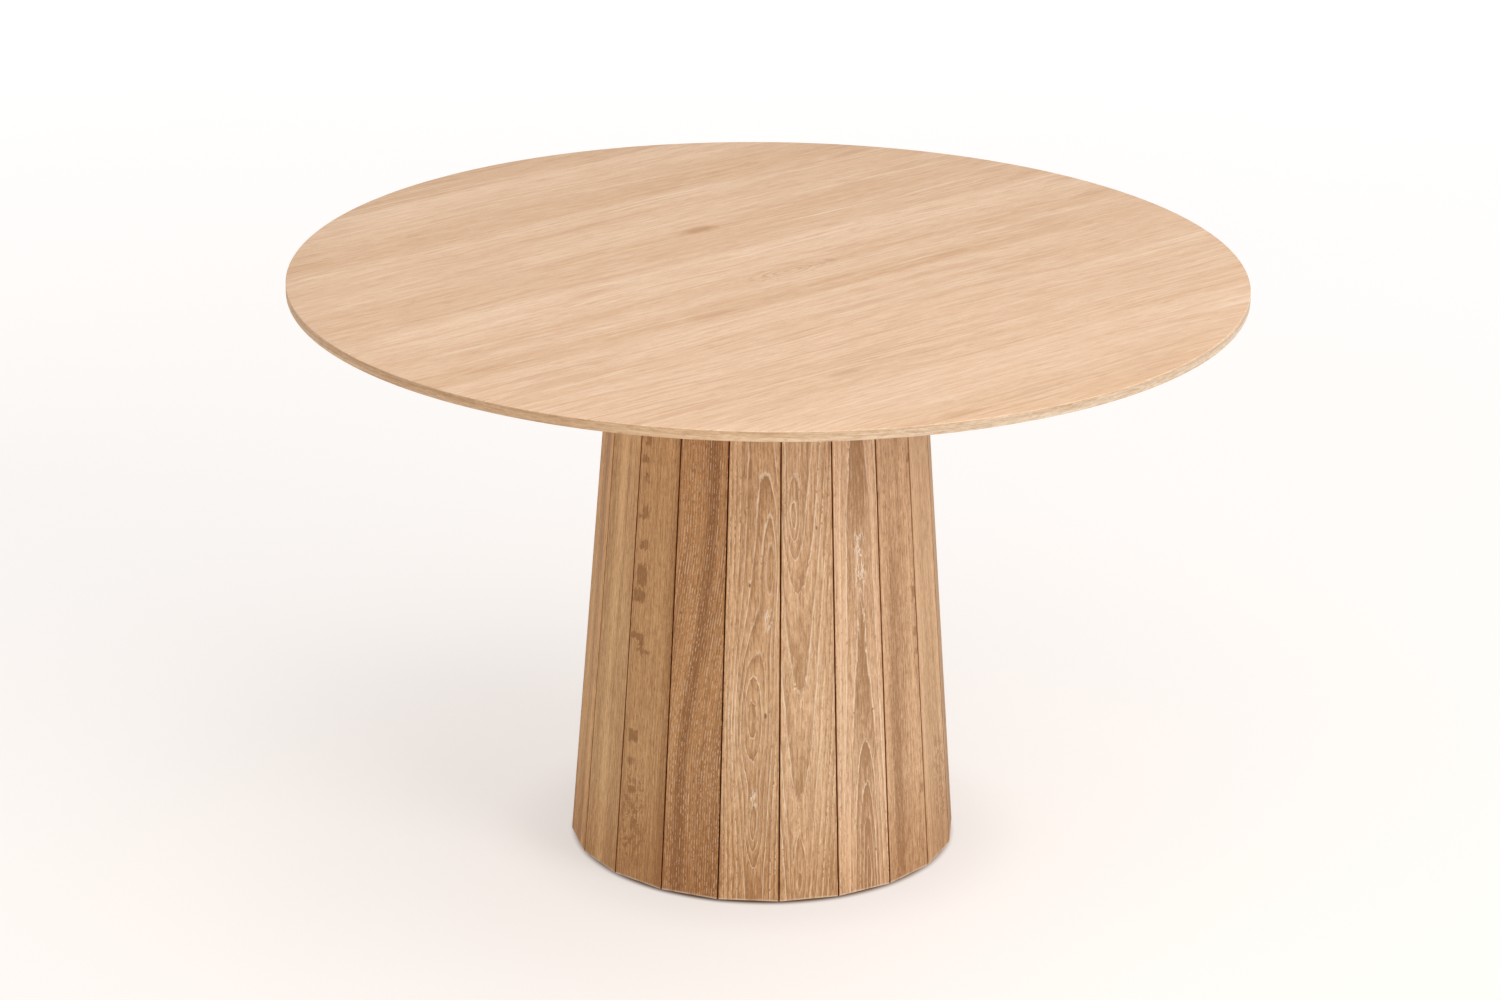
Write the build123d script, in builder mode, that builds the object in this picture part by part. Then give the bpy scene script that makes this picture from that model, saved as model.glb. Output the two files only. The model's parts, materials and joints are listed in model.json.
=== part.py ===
"""Round pedestal dining table.

A veneered, under-bevelled round top stands on a hollow twenty-sided column of tapered oak staves.
The staves are glued round three plywood formers and keyed to each other by loose tongues.
A steel ring at the foot of the column gives it weight, and four screw feet level it.

Units are millimetres. The origin is on the floor under the middle of the top, +Z is up.
"""

import math
import os

from build123d import *

# ---------------------------------------------------------------- driving dimensions
TABLE_HEIGHT = 750
TABLE_DIAMETER = 1200

# Top
TOP_THICKNESS = 25
RIM_HEIGHT = 12.5
BEVEL_WIDTH = 45
RIM_ARRIS = 0.8
VENEER_THICKNESS = 1
LIPPING_WIDTH = 50
LIPPING_COUNT = 8
GLUE_LINE = 0.1

# Column
STAVE_COUNT = 20
STAVE_THICKNESS = 20
STAVE_GAP = 1.6
STAVE_ARRIS = 0.6
FOOT_CHAMFER = 1.4
COLUMN_BOTTOM_Z = 4
COLUMN_BOTTOM_CORNER = 247
COLUMN_TOP_CORNER = 194

# Loose tongues between the staves
TONGUE_THICKNESS = 4
TONGUE_DEPTH = 8
TONGUE_CLEARANCE = 0.1
TONGUE_SETBACK = 2

# Plywood formers, housed in the staves
FORMER_THICKNESS = 18
HOUSING_DEPTH = 4
BOTTOM_FORMER_Z = 17
MIDDLE_FORMER_Z = 356
BOTTOM_HAND_HOLE = 135
MIDDLE_HAND_HOLE = 150
TOP_HAND_HOLE = 85

# Ballast ring
BALLAST_THICKNESS = 12
BALLAST_OUTER = 212
BALLAST_STEM_HOLE = 10

# Fasteners
BOLT_RADIUS = 4
BOLT_HOLE_RADIUS = 4.5
BOLT_HEAD_RADIUS = 6.5
BOLT_HEAD_HEIGHT = 8
BOLT_HEAD_CHAMFER = 0.8
BOLT_KEY_ACROSS = 6
BOLT_KEY_DEPTH = 4
BOLT_BORE_RADIUS = 4.03
TOP_BOLT_CIRCLE = 120
TOP_BOLT_COUNT = 8
TOP_BOLT_LENGTH = 32
WASHER_RADIUS = 12
WASHER_THICKNESS = 1.6
INSERT_RADIUS = 6
INSERT_LENGTH = 16
INSERT_HOLE_EXTRA = 4
BALLAST_BOLT_CIRCLE = 173
BALLAST_BOLT_LENGTH = 30
TEE_NUT_FLANGE = 11
TEE_NUT_FLANGE_THICKNESS = 1.5
TEE_NUT_BARREL = 5
TEE_NUT_LENGTH = 12
DRIVE_FIT = 0.05

# Levelling feet
FOOT_COUNT = 4
FOOT_CIRCLE = 180
FOOT_NUT_FLANGE = 13
FOOT_NUT_BARREL = 6.5
FOOT_NUT_LENGTH = 16.5
STEM_RADIUS = 5
STEM_BORE_RADIUS = 5.05
STEM_TOP_Z = 60
STEM_CHAMFER = 1
STEM_KEY_ACROSS = 5
STEM_KEY_DEPTH = 6
COLLAR_ACROSS = 17
COLLAR_BOTTOM_Z = 8.5
COLLAR_HEIGHT = 5
NECK_RADIUS = 4.5
NECK_BORE_RADIUS = 4.58
HEAD_RADIUS = 7
HEAD_BOTTOM_Z = 3.6
HEAD_TOP_Z = 5.8
PAD_RADIUS = 20
PAD_BOTTOM_Z = 1
PAD_TOP_Z = 8
PAD_SHOULDER = 2.5
PAD_CAVITY_RADIUS = 7.3
PAD_CAVITY_BOTTOM_Z = 3.4
PAD_CAVITY_TOP_Z = 6.1
SOLE_RADIUS = 18
SOLE_THICKNESS = 2

# ---------------------------------------------------------------- worked-out sizes
TOP_RADIUS = TABLE_DIAMETER / 2
COLUMN_TOP_Z = TABLE_HEIGHT - TOP_THICKNESS
RIM_BOTTOM_Z = TABLE_HEIGHT - RIM_HEIGHT
CORE_RADIUS = TOP_RADIUS - LIPPING_WIDTH
TOP_FORMER_Z = COLUMN_TOP_Z - FORMER_THICKNESS
BALLAST_Z = BOTTOM_FORMER_Z + FORMER_THICKNESS
HALF_STAVE = 180 / STAVE_COUNT
FLAT_TO_CORNER = math.cos(math.radians(HALF_STAVE))
FIRST_FOOT_ANGLE = 45
FIRST_TOP_BOLT_ANGLE = 22.5


def corner_radius(z):
    """Distance from the table's axis to the column's outer corners at height z."""
    rise = (z - COLUMN_BOTTOM_Z) / (COLUMN_TOP_Z - COLUMN_BOTTOM_Z)
    return COLUMN_BOTTOM_CORNER + rise * (COLUMN_TOP_CORNER - COLUMN_BOTTOM_CORNER)


def face_distance(z):
    """Distance from the axis to the middle of a stave's outer face at height z."""
    return corner_radius(z) * FLAT_TO_CORNER


SLOPE = math.atan2(
    face_distance(COLUMN_BOTTOM_Z) - face_distance(COLUMN_TOP_Z),
    COLUMN_TOP_Z - COLUMN_BOTTOM_Z,
)
WALL = STAVE_THICKNESS / math.cos(SLOPE)


def housed_radius(z, clearance=0.0):
    """Corner radius of a former, which reaches into the staves' housings, at height z."""
    return (face_distance(z) - WALL + HOUSING_DEPTH - clearance) / FLAT_TO_CORNER


def turned_plane(angle, z):
    """A level plane at height z whose local X points away from the table's axis at that angle."""
    outward = (math.cos(math.radians(angle)), math.sin(math.radians(angle)), 0)
    return Plane(origin=(0, 0, z), x_dir=outward, z_dir=(0, 0, 1))


def upright_plane(angle):
    """A vertical plane through the table's axis: local X points outward, local Y up."""
    turn = math.radians(angle)
    outward = (math.cos(turn), math.sin(turn), 0)
    return Plane(origin=(0, 0, 0), x_dir=outward, z_dir=(math.sin(turn), -math.cos(turn), 0))


def stave_outline(z):
    """A stave's four corners at height z, in the level plane turned to the stave's own angle."""
    lean = math.tan(math.radians(HALF_STAVE))
    side_gap = STAVE_GAP / 2 / FLAT_TO_CORNER
    outer = face_distance(z)
    inner = outer - WALL
    half_outer = outer * lean - side_gap
    half_inner = inner * lean - side_gap
    return [(outer, -half_outer), (outer, half_outer), (inner, half_inner), (inner, -half_inner)]


def seam_middle(z):
    """Distance from the axis to the middle of the joint between two staves at height z."""
    return corner_radius(z) - WALL / 2 / FLAT_TO_CORNER


def from_axis(edge):
    """How far an edge's middle is from the table's axis."""
    middle = edge.center()
    return math.hypot(middle.X, middle.Y)


def write(piece, name):
    """Labels a finished piece and writes it to its own STEP file."""
    piece.label = name
    export_step(piece, f"parts/{name}.step")


os.makedirs("parts", exist_ok=True)

# ---------------------------------------------------------------- top
insert_places = PolarLocations(TOP_BOLT_CIRCLE, TOP_BOLT_COUNT, start_angle=FIRST_TOP_BOLT_ANGLE)

# Oak face veneer: covers the core and the lipping, with a softened rim.
with BuildPart() as top_face_veneer:
    with BuildSketch(Plane.XY.offset(TABLE_HEIGHT - VENEER_THICKNESS)):
        Circle(TOP_RADIUS)
    extrude(amount=VENEER_THICKNESS)
    fillet(top_face_veneer.faces().sort_by(Axis.Z)[-1].edges(), RIM_ARRIS)
write(top_face_veneer.part, "top_face_veneer")

# Fibreboard core, bored from below for the threaded inserts.
with BuildPart() as top_core:
    with BuildSketch(Plane.XY.offset(COLUMN_TOP_Z + VENEER_THICKNESS)):
        Circle(CORE_RADIUS - GLUE_LINE)
    extrude(amount=TOP_THICKNESS - 2 * VENEER_THICKNESS)
    with BuildSketch(Plane.XY.offset(COLUMN_TOP_Z)):
        with insert_places:
            Circle(INSERT_RADIUS + DRIVE_FIT)
    extrude(amount=INSERT_LENGTH + INSERT_HOLE_EXTRA, mode=Mode.SUBTRACT)
write(top_core.part, "top_core")

# Oak balancing veneer under the core.
with BuildPart() as top_balancing_veneer:
    with BuildSketch(Plane.XY.offset(COLUMN_TOP_Z)):
        Circle(CORE_RADIUS - GLUE_LINE)
        with insert_places:
            Circle(INSERT_RADIUS + DRIVE_FIT, mode=Mode.SUBTRACT)
    extrude(amount=VENEER_THICKNESS)
write(top_balancing_veneer.part, "top_balancing_veneer")

# Solid oak lipping in arcs round the core, bevelled underneath to a thin rim.
lipping_arc = 360 / LIPPING_COUNT
for number in range(LIPPING_COUNT):
    with BuildPart() as rim_lipping:
        with BuildSketch(upright_plane(number * lipping_arc)):
            with BuildLine():
                Polyline(
                    (CORE_RADIUS, COLUMN_TOP_Z),
                    (TOP_RADIUS - BEVEL_WIDTH, COLUMN_TOP_Z),
                    (TOP_RADIUS - RIM_ARRIS, RIM_BOTTOM_Z - RIM_ARRIS),
                    (TOP_RADIUS, RIM_BOTTOM_Z),
                    (TOP_RADIUS, TABLE_HEIGHT - VENEER_THICKNESS),
                    (CORE_RADIUS, TABLE_HEIGHT - VENEER_THICKNESS),
                    close=True,
                )
            make_face()
        revolve(axis=Axis.Z, revolution_arc=lipping_arc)
    write(rim_lipping.part, f"rim_lipping_{number + 1}")

# Threaded inserts, driven flush into the underside.
with BuildPart() as top_threaded_inserts:
    with BuildSketch(Plane.XY.offset(COLUMN_TOP_Z)):
        with insert_places:
            Circle(INSERT_RADIUS)
            Circle(BOLT_BORE_RADIUS, mode=Mode.SUBTRACT)
    extrude(amount=INSERT_LENGTH)
write(top_threaded_inserts.part, "top_threaded_inserts")

# ---------------------------------------------------------------- column staves
former_levels = (BOTTOM_FORMER_Z, MIDDLE_FORMER_Z, TOP_FORMER_Z)
for number in range(STAVE_COUNT):
    stave_angle = (2 * number + 1) * HALF_STAVE
    with BuildPart() as stave:
        for level in (COLUMN_BOTTOM_Z, COLUMN_TOP_Z):
            with BuildSketch(turned_plane(stave_angle, level)):
                Polygon(*stave_outline(level), align=None)
        loft(ruled=True)
        long_edges = stave.edges().filter_by(lambda edge: edge.length > COLUMN_TOP_Z / 2)
        chamfer(long_edges.sort_by(from_axis)[-2:], STAVE_ARRIS)
        foot_face = stave.faces().sort_by(Axis.Z)[0]
        chamfer(foot_face.edges().sort_by(SortBy.LENGTH)[-1], FOOT_CHAMFER)
        # A groove in each side for the loose tongue.
        for seam_angle in (stave_angle - HALF_STAVE, stave_angle + HALF_STAVE):
            for level in (COLUMN_BOTTOM_Z, COLUMN_TOP_Z):
                with BuildSketch(turned_plane(seam_angle, level)):
                    with Locations((seam_middle(level), 0)):
                        Rectangle(
                            TONGUE_THICKNESS + 2 * TONGUE_CLEARANCE,
                            STAVE_GAP + 2 * (TONGUE_DEPTH + TONGUE_CLEARANCE),
                        )
            loft(ruled=True, mode=Mode.SUBTRACT)
        # Housings across the inner face for the formers.
        for former_bottom in former_levels:
            for level in (former_bottom, former_bottom + FORMER_THICKNESS):
                with BuildSketch(Plane.XY.offset(level)):
                    RegularPolygon(housed_radius(level), STAVE_COUNT)
            loft(ruled=True, mode=Mode.SUBTRACT)
    write(stave.part, f"stave_{number + 1:02d}")

# Loose plywood tongues, one in each joint between two staves.
with BuildPart() as stave_tongues:
    for number in range(STAVE_COUNT):
        for level in (COLUMN_BOTTOM_Z + TONGUE_SETBACK, COLUMN_TOP_Z):
            with BuildSketch(turned_plane(2 * number * HALF_STAVE, level)):
                with Locations((seam_middle(level), 0)):
                    Rectangle(TONGUE_THICKNESS, STAVE_GAP + 2 * TONGUE_DEPTH)
        loft(ruled=True)
write(stave_tongues.part, "stave_tongues")

# ---------------------------------------------------------------- formers inside the column
foot_places = PolarLocations(FOOT_CIRCLE, FOOT_COUNT, start_angle=FIRST_FOOT_ANGLE)
ballast_bolt_places = PolarLocations(BALLAST_BOLT_CIRCLE, FOOT_COUNT)

# Top former: carries the top's bolts.
with BuildPart() as top_former:
    for level in (TOP_FORMER_Z, COLUMN_TOP_Z):
        with BuildSketch(Plane.XY.offset(level)):
            RegularPolygon(housed_radius(level, GLUE_LINE), STAVE_COUNT)
    loft(ruled=True)
    with BuildSketch(Plane.XY.offset(TOP_FORMER_Z)):
        Circle(TOP_HAND_HOLE)
        with insert_places:
            Circle(BOLT_HOLE_RADIUS)
    extrude(amount=FORMER_THICKNESS, mode=Mode.SUBTRACT)
write(top_former.part, "top_former")

# Middle former: keeps the staves in line.
with BuildPart() as middle_former:
    for level in (MIDDLE_FORMER_Z, MIDDLE_FORMER_Z + FORMER_THICKNESS):
        with BuildSketch(Plane.XY.offset(level)):
            RegularPolygon(housed_radius(level, GLUE_LINE), STAVE_COUNT)
    loft(ruled=True)
    with BuildSketch(Plane.XY.offset(MIDDLE_FORMER_Z)):
        Circle(MIDDLE_HAND_HOLE)
    extrude(amount=FORMER_THICKNESS, mode=Mode.SUBTRACT)
write(middle_former.part, "middle_former")

# Bottom former: carries the feet and the ballast ring.
with BuildPart() as bottom_former:
    for level in (BOTTOM_FORMER_Z, BALLAST_Z):
        with BuildSketch(Plane.XY.offset(level)):
            RegularPolygon(housed_radius(level, GLUE_LINE), STAVE_COUNT)
    loft(ruled=True)
    with BuildSketch(Plane.XY.offset(BOTTOM_FORMER_Z)):
        Circle(BOTTOM_HAND_HOLE)
        with foot_places:
            Circle(FOOT_NUT_BARREL + DRIVE_FIT)
        with ballast_bolt_places:
            Circle(TEE_NUT_BARREL + DRIVE_FIT)
    extrude(amount=FORMER_THICKNESS, mode=Mode.SUBTRACT)
write(bottom_former.part, "bottom_former")

# Steel ballast ring on the bottom former.
with BuildPart() as ballast_ring:
    with BuildSketch(Plane.XY.offset(BALLAST_Z)):
        Circle(BALLAST_OUTER)
        Circle(BOTTOM_HAND_HOLE, mode=Mode.SUBTRACT)
        with foot_places:
            Circle(BALLAST_STEM_HOLE, mode=Mode.SUBTRACT)
        with ballast_bolt_places:
            Circle(BOLT_HOLE_RADIUS, mode=Mode.SUBTRACT)
    extrude(amount=BALLAST_THICKNESS)
write(ballast_ring.part, "ballast_ring")

# ---------------------------------------------------------------- fasteners inside the column
# Socket-head bolts that hold the top, from below.
top_bolt_z = TOP_FORMER_Z - WASHER_THICKNESS
with BuildPart() as top_bolts:
    with BuildSketch(Plane.XY.offset(top_bolt_z)):
        with insert_places:
            Circle(BOLT_HEAD_RADIUS)
    extrude(amount=-BOLT_HEAD_HEIGHT)
    head_faces = top_bolts.faces().filter_by(Axis.Z).group_by(Axis.Z)[0]
    chamfer(head_faces.edges(), BOLT_HEAD_CHAMFER)
    with BuildSketch(Plane.XY.offset(top_bolt_z)):
        with insert_places:
            Circle(BOLT_RADIUS)
    extrude(amount=TOP_BOLT_LENGTH)
    with BuildSketch(Plane.XY.offset(top_bolt_z - BOLT_HEAD_HEIGHT)):
        with insert_places:
            RegularPolygon(BOLT_KEY_ACROSS / 2, 6, major_radius=False)
    extrude(amount=BOLT_KEY_DEPTH, mode=Mode.SUBTRACT)
write(top_bolts.part, "top_bolts")

# Washers under those heads.
with BuildPart() as top_bolt_washers:
    with BuildSketch(Plane.XY.offset(top_bolt_z)):
        with insert_places:
            Circle(WASHER_RADIUS)
            Circle(BOLT_HOLE_RADIUS, mode=Mode.SUBTRACT)
    extrude(amount=WASHER_THICKNESS)
write(top_bolt_washers.part, "top_bolt_washers")

# Socket-head bolts that hold the ballast ring, from above.
ballast_top_z = BALLAST_Z + BALLAST_THICKNESS
with BuildPart() as ballast_bolts:
    with BuildSketch(Plane.XY.offset(ballast_top_z)):
        with ballast_bolt_places:
            Circle(BOLT_HEAD_RADIUS)
    extrude(amount=BOLT_HEAD_HEIGHT)
    head_faces = ballast_bolts.faces().filter_by(Axis.Z).group_by(Axis.Z)[-1]
    chamfer(head_faces.edges(), BOLT_HEAD_CHAMFER)
    with BuildSketch(Plane.XY.offset(ballast_top_z)):
        with ballast_bolt_places:
            Circle(BOLT_RADIUS)
    extrude(amount=-BALLAST_BOLT_LENGTH)
    with BuildSketch(Plane.XY.offset(ballast_top_z + BOLT_HEAD_HEIGHT)):
        with ballast_bolt_places:
            RegularPolygon(BOLT_KEY_ACROSS / 2, 6, major_radius=False)
    extrude(amount=-BOLT_KEY_DEPTH, mode=Mode.SUBTRACT)
write(ballast_bolts.part, "ballast_bolts")

# Tee nuts for the ballast bolts, with their flanges under the bottom former.
with BuildPart() as ballast_tee_nuts:
    with BuildSketch(Plane.XY.offset(BOTTOM_FORMER_Z)):
        with ballast_bolt_places:
            Circle(TEE_NUT_FLANGE)
            Circle(BOLT_BORE_RADIUS, mode=Mode.SUBTRACT)
    extrude(amount=-TEE_NUT_FLANGE_THICKNESS)
    with BuildSketch(Plane.XY.offset(BOTTOM_FORMER_Z)):
        with ballast_bolt_places:
            Circle(TEE_NUT_BARREL)
            Circle(BOLT_BORE_RADIUS, mode=Mode.SUBTRACT)
    extrude(amount=TEE_NUT_LENGTH)
write(ballast_tee_nuts.part, "ballast_tee_nuts")

# Larger tee nuts, in which the feet's screws turn.
with BuildPart() as foot_tee_nuts:
    with BuildSketch(Plane.XY.offset(BOTTOM_FORMER_Z)):
        with foot_places:
            Circle(FOOT_NUT_FLANGE)
            Circle(STEM_BORE_RADIUS, mode=Mode.SUBTRACT)
    extrude(amount=-TEE_NUT_FLANGE_THICKNESS)
    with BuildSketch(Plane.XY.offset(BOTTOM_FORMER_Z)):
        with foot_places:
            Circle(FOOT_NUT_BARREL)
            Circle(STEM_BORE_RADIUS, mode=Mode.SUBTRACT)
    extrude(amount=FOOT_NUT_LENGTH)
write(foot_tee_nuts.part, "foot_tee_nuts")

# ---------------------------------------------------------------- levelling feet
for number in range(FOOT_COUNT):
    foot_angle = math.radians(FIRST_FOOT_ANGLE + number * 360 / FOOT_COUNT)
    foot_x = FOOT_CIRCLE * math.cos(foot_angle)
    foot_y = FOOT_CIRCLE * math.sin(foot_angle)
    foot_axis = Axis((foot_x, foot_y, 0), (0, 0, 1))
    foot_plane = Plane(origin=(foot_x, foot_y, 0), x_dir=(1, 0, 0), z_dir=(0, -1, 0))
    foot_level = Plane(origin=(foot_x, foot_y, 0), x_dir=(1, 0, 0), z_dir=(0, 0, 1))

    # Felt sole, set into the pad.
    with BuildPart() as foot_sole:
        with BuildSketch(foot_level):
            Circle(SOLE_RADIUS - GLUE_LINE)
        extrude(amount=SOLE_THICKNESS)
    write(foot_sole.part, f"foot_{number + 1}_sole")

    # Nylon pad, snapped over the screw's round head so that it can turn on it.
    with BuildPart() as foot_pad:
        with BuildSketch(foot_plane):
            with BuildLine():
                Polyline(
                    (0, SOLE_THICKNESS),
                    (SOLE_RADIUS, SOLE_THICKNESS),
                    (SOLE_RADIUS, PAD_BOTTOM_Z),
                    (PAD_RADIUS, PAD_BOTTOM_Z),
                    (PAD_RADIUS, PAD_TOP_Z - PAD_SHOULDER),
                    (PAD_RADIUS - PAD_SHOULDER, PAD_TOP_Z),
                    (NECK_BORE_RADIUS, PAD_TOP_Z),
                    (NECK_BORE_RADIUS, PAD_CAVITY_TOP_Z),
                    (PAD_CAVITY_RADIUS, PAD_CAVITY_TOP_Z),
                    (PAD_CAVITY_RADIUS, PAD_CAVITY_BOTTOM_Z),
                    (0, PAD_CAVITY_BOTTOM_Z),
                    close=True,
                )
            make_face()
        revolve(axis=foot_axis)
    write(foot_pad.part, f"foot_{number + 1}_pad")

    # Steel screw: round head in the pad, neck, hexagonal collar, threaded stem with a hex key socket.
    with BuildPart() as foot_screw:
        with BuildSketch(foot_plane):
            with BuildLine():
                Polyline(
                    (0, HEAD_BOTTOM_Z),
                    (HEAD_RADIUS, HEAD_BOTTOM_Z),
                    (HEAD_RADIUS, HEAD_TOP_Z),
                    (NECK_RADIUS, HEAD_TOP_Z),
                    (NECK_RADIUS, COLLAR_BOTTOM_Z + COLLAR_HEIGHT / 2),
                    (STEM_RADIUS, COLLAR_BOTTOM_Z + COLLAR_HEIGHT / 2),
                    (STEM_RADIUS, STEM_TOP_Z - STEM_CHAMFER),
                    (STEM_RADIUS - STEM_CHAMFER, STEM_TOP_Z),
                    (0, STEM_TOP_Z),
                    close=True,
                )
            make_face()
        revolve(axis=foot_axis)
        with BuildSketch(foot_level.offset(COLLAR_BOTTOM_Z)):
            RegularPolygon(COLLAR_ACROSS / 2, 6, major_radius=False)
        extrude(amount=COLLAR_HEIGHT)
        with BuildSketch(foot_level.offset(STEM_TOP_Z)):
            RegularPolygon(STEM_KEY_ACROSS / 2, 6, major_radius=False)
        extrude(amount=-STEM_KEY_DEPTH, mode=Mode.SUBTRACT)
    write(foot_screw.part, f"foot_{number + 1}_screw")
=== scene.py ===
"""Looks of the round pedestal table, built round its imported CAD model.

Everything is in metres in the CAD model's own frame: the origin is on the floor under the middle of the top, +Z is
up and the front looks along -Y. Every piece sits at the origin, so Object texture coordinates are frame coordinates.
"""

import json
import random
from math import acos, atan2, cos, hypot, pi, radians, sin, tan

import bmesh
import bpy
from mathutils import Matrix, Vector, noise


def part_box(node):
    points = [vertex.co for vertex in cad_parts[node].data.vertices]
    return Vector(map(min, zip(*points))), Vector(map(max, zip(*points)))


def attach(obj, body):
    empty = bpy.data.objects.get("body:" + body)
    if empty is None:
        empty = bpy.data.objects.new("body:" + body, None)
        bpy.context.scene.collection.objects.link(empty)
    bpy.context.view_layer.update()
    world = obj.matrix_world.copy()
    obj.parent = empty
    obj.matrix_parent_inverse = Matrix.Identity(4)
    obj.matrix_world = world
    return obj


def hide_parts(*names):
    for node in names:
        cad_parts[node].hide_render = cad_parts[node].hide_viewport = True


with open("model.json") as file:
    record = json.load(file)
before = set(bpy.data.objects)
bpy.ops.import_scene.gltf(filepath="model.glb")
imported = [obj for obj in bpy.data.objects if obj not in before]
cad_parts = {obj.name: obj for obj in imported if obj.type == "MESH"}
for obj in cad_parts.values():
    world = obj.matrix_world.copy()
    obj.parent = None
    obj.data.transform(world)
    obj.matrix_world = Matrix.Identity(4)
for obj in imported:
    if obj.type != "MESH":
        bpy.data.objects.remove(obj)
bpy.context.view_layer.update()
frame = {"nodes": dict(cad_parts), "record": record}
scene = bpy.context.scene
TAU = 2 * pi

# ---------------- sizes that the pieces share, in metres
TOP_LOW, TOP_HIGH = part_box("top_face_veneer")
TOP_RADIUS = TOP_HIGH.x
TOP_Z = TOP_HIGH.z
VENEER_Z = TOP_LOW.z
LIPPING_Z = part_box("rim_lipping_1")[0].z
CORE_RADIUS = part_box("top_core")[1].x + 0.0001
RIM_Z = 0.7375
BEVEL_RADIUS = 0.555
LIPPINGS = 8
LIPPING_JOINT = 0.00008
TOP_EASE = 0.0009

STAVES = 20
HALF = pi / STAVES
COLUMN_LOW_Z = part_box("stave_01")[0].z
COLUMN_HIGH_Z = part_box("stave_01")[1].z
COLUMN_HEIGHT = COLUMN_HIGH_Z - COLUMN_LOW_Z
CORNER_LOW, CORNER_HIGH = 0.247, 0.194
STAVE_GAP = 0.0016
HOUSING = 0.004
GROOVE_HALF_WIDTH = 0.0021
GROOVE_DEPTH = 0.0081
LEAN = atan2((CORNER_LOW - CORNER_HIGH) * cos(HALF), COLUMN_HEIGHT)
WALL = 0.02 / cos(LEAN)
COLUMN_FOOT_RADIUS = CORNER_LOW * cos(HALF)
HAND_HOLE = 0.135
SMOOTH_BELOW = radians(35)


def around(radius, count, first=0.0):
    """Places (x, y, turn) spaced evenly round the table's axis, each turned to face outward."""
    turns = [first + TAU * i / count for i in range(count)]
    return [(radius * cos(turn), radius * sin(turn), turn) for turn in turns]


TOP_BOLTS = around(0.12, 8, radians(22.5))
BALLAST_BOLTS = around(0.173, 4)
FEET = around(0.18, 4, radians(45))


# ---------------- meshes
def piece(name, mesh, slot, material, node, body="table"):
    """Adds a finished mesh as a piece that rides on a body and stands for a CAD node."""
    mesh.name = name
    mesh.materials.clear()
    mesh.materials.append(material)
    mesh.shade_smooth()
    mesh.set_sharp_from_angle(angle=SMOOTH_BELOW)
    obj = bpy.data.objects.new(name, mesh)
    scene.collection.objects.link(obj)
    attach(obj, body)
    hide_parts(node)


def to_mesh(bm, merge=1e-6):
    """Welds and finishes a bmesh."""
    bmesh.ops.remove_doubles(bm, verts=bm.verts, dist=merge)
    bmesh.ops.recalc_face_normals(bm, faces=bm.faces)
    mesh = bpy.data.meshes.new("piece")
    bm.to_mesh(mesh)
    bm.free()
    return mesh


def stacked(rings):
    """A closed bmesh through a stack of rings with the same number of points."""
    bm = bmesh.new()
    rows = [[bm.verts.new(point) for point in ring] for ring in rings]
    count = len(rows[0])
    for low, high in zip(rows, rows[1:]):
        for i in range(count):
            j = (i + 1) % count
            bm.faces.new((low[i], low[j], high[j], high[i]))
    bm.faces.new(rows[0][::-1])
    bm.faces.new(rows[-1])
    return bm


def turned(profile, segments, start=0.0, sweep=TAU):
    """A closed (radius, height) profile turned about the z axis, all round or through an arc, as a bmesh."""
    bm = bmesh.new()
    whole = sweep == TAU
    steps = segments if whole else segments + 1
    rows = []
    for i in range(steps):
        turn = start + sweep * i / segments
        c, s = cos(turn), sin(turn)
        rows.append([bm.verts.new((r * c, r * s, z)) for r, z in profile])
    for i in range(segments):
        low, high = rows[i], rows[(i + 1) % steps]
        for k, (radius, _) in enumerate(profile):
            j = (k + 1) % len(profile)
            if radius > 0 and profile[j][0] > 0:
                bm.faces.new((low[k], high[k], high[j], low[j]))
            elif radius > 0:
                bm.faces.new((low[k], high[k], low[j]))
            elif profile[j][0] > 0:
                bm.faces.new((low[k], high[j], low[j]))
    if not whole:
        bm.faces.new(rows[0])
        bm.faces.new(rows[-1][::-1])
    return bm


def rounded(profile, radii, steps):
    """Replaces the corners of a closed profile by arcs of the given radii (0 keeps the corner sharp)."""
    out = []
    for i, radius in enumerate(radii):
        here = Vector(profile[i])
        if radius <= 0:
            out.append(tuple(here))
            continue
        back = (Vector(profile[i - 1]) - here).normalized()
        ahead = (Vector(profile[(i + 1) % len(profile)]) - here).normalized()
        half = acos(max(-1, min(1, back.dot(ahead)))) / 2
        reach = radius / tan(half)
        middle = here + (back + ahead).normalized() * (radius / sin(half))
        first = here + back * reach - middle
        last = here + ahead * reach - middle
        for k in range(steps + 1):
            mix = k / steps
            out.append(tuple(middle + (first * (1 - mix) + last * mix).normalized() * radius))
    return out


def circle(radius, count, x=0.0, y=0.0):
    return [(x + radius * cos(TAU * i / count), y + radius * sin(TAU * i / count)) for i in range(count)]


def holes(radius, count, places):
    return [circle(radius, count, x, y) for x, y, _ in places]


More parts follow.
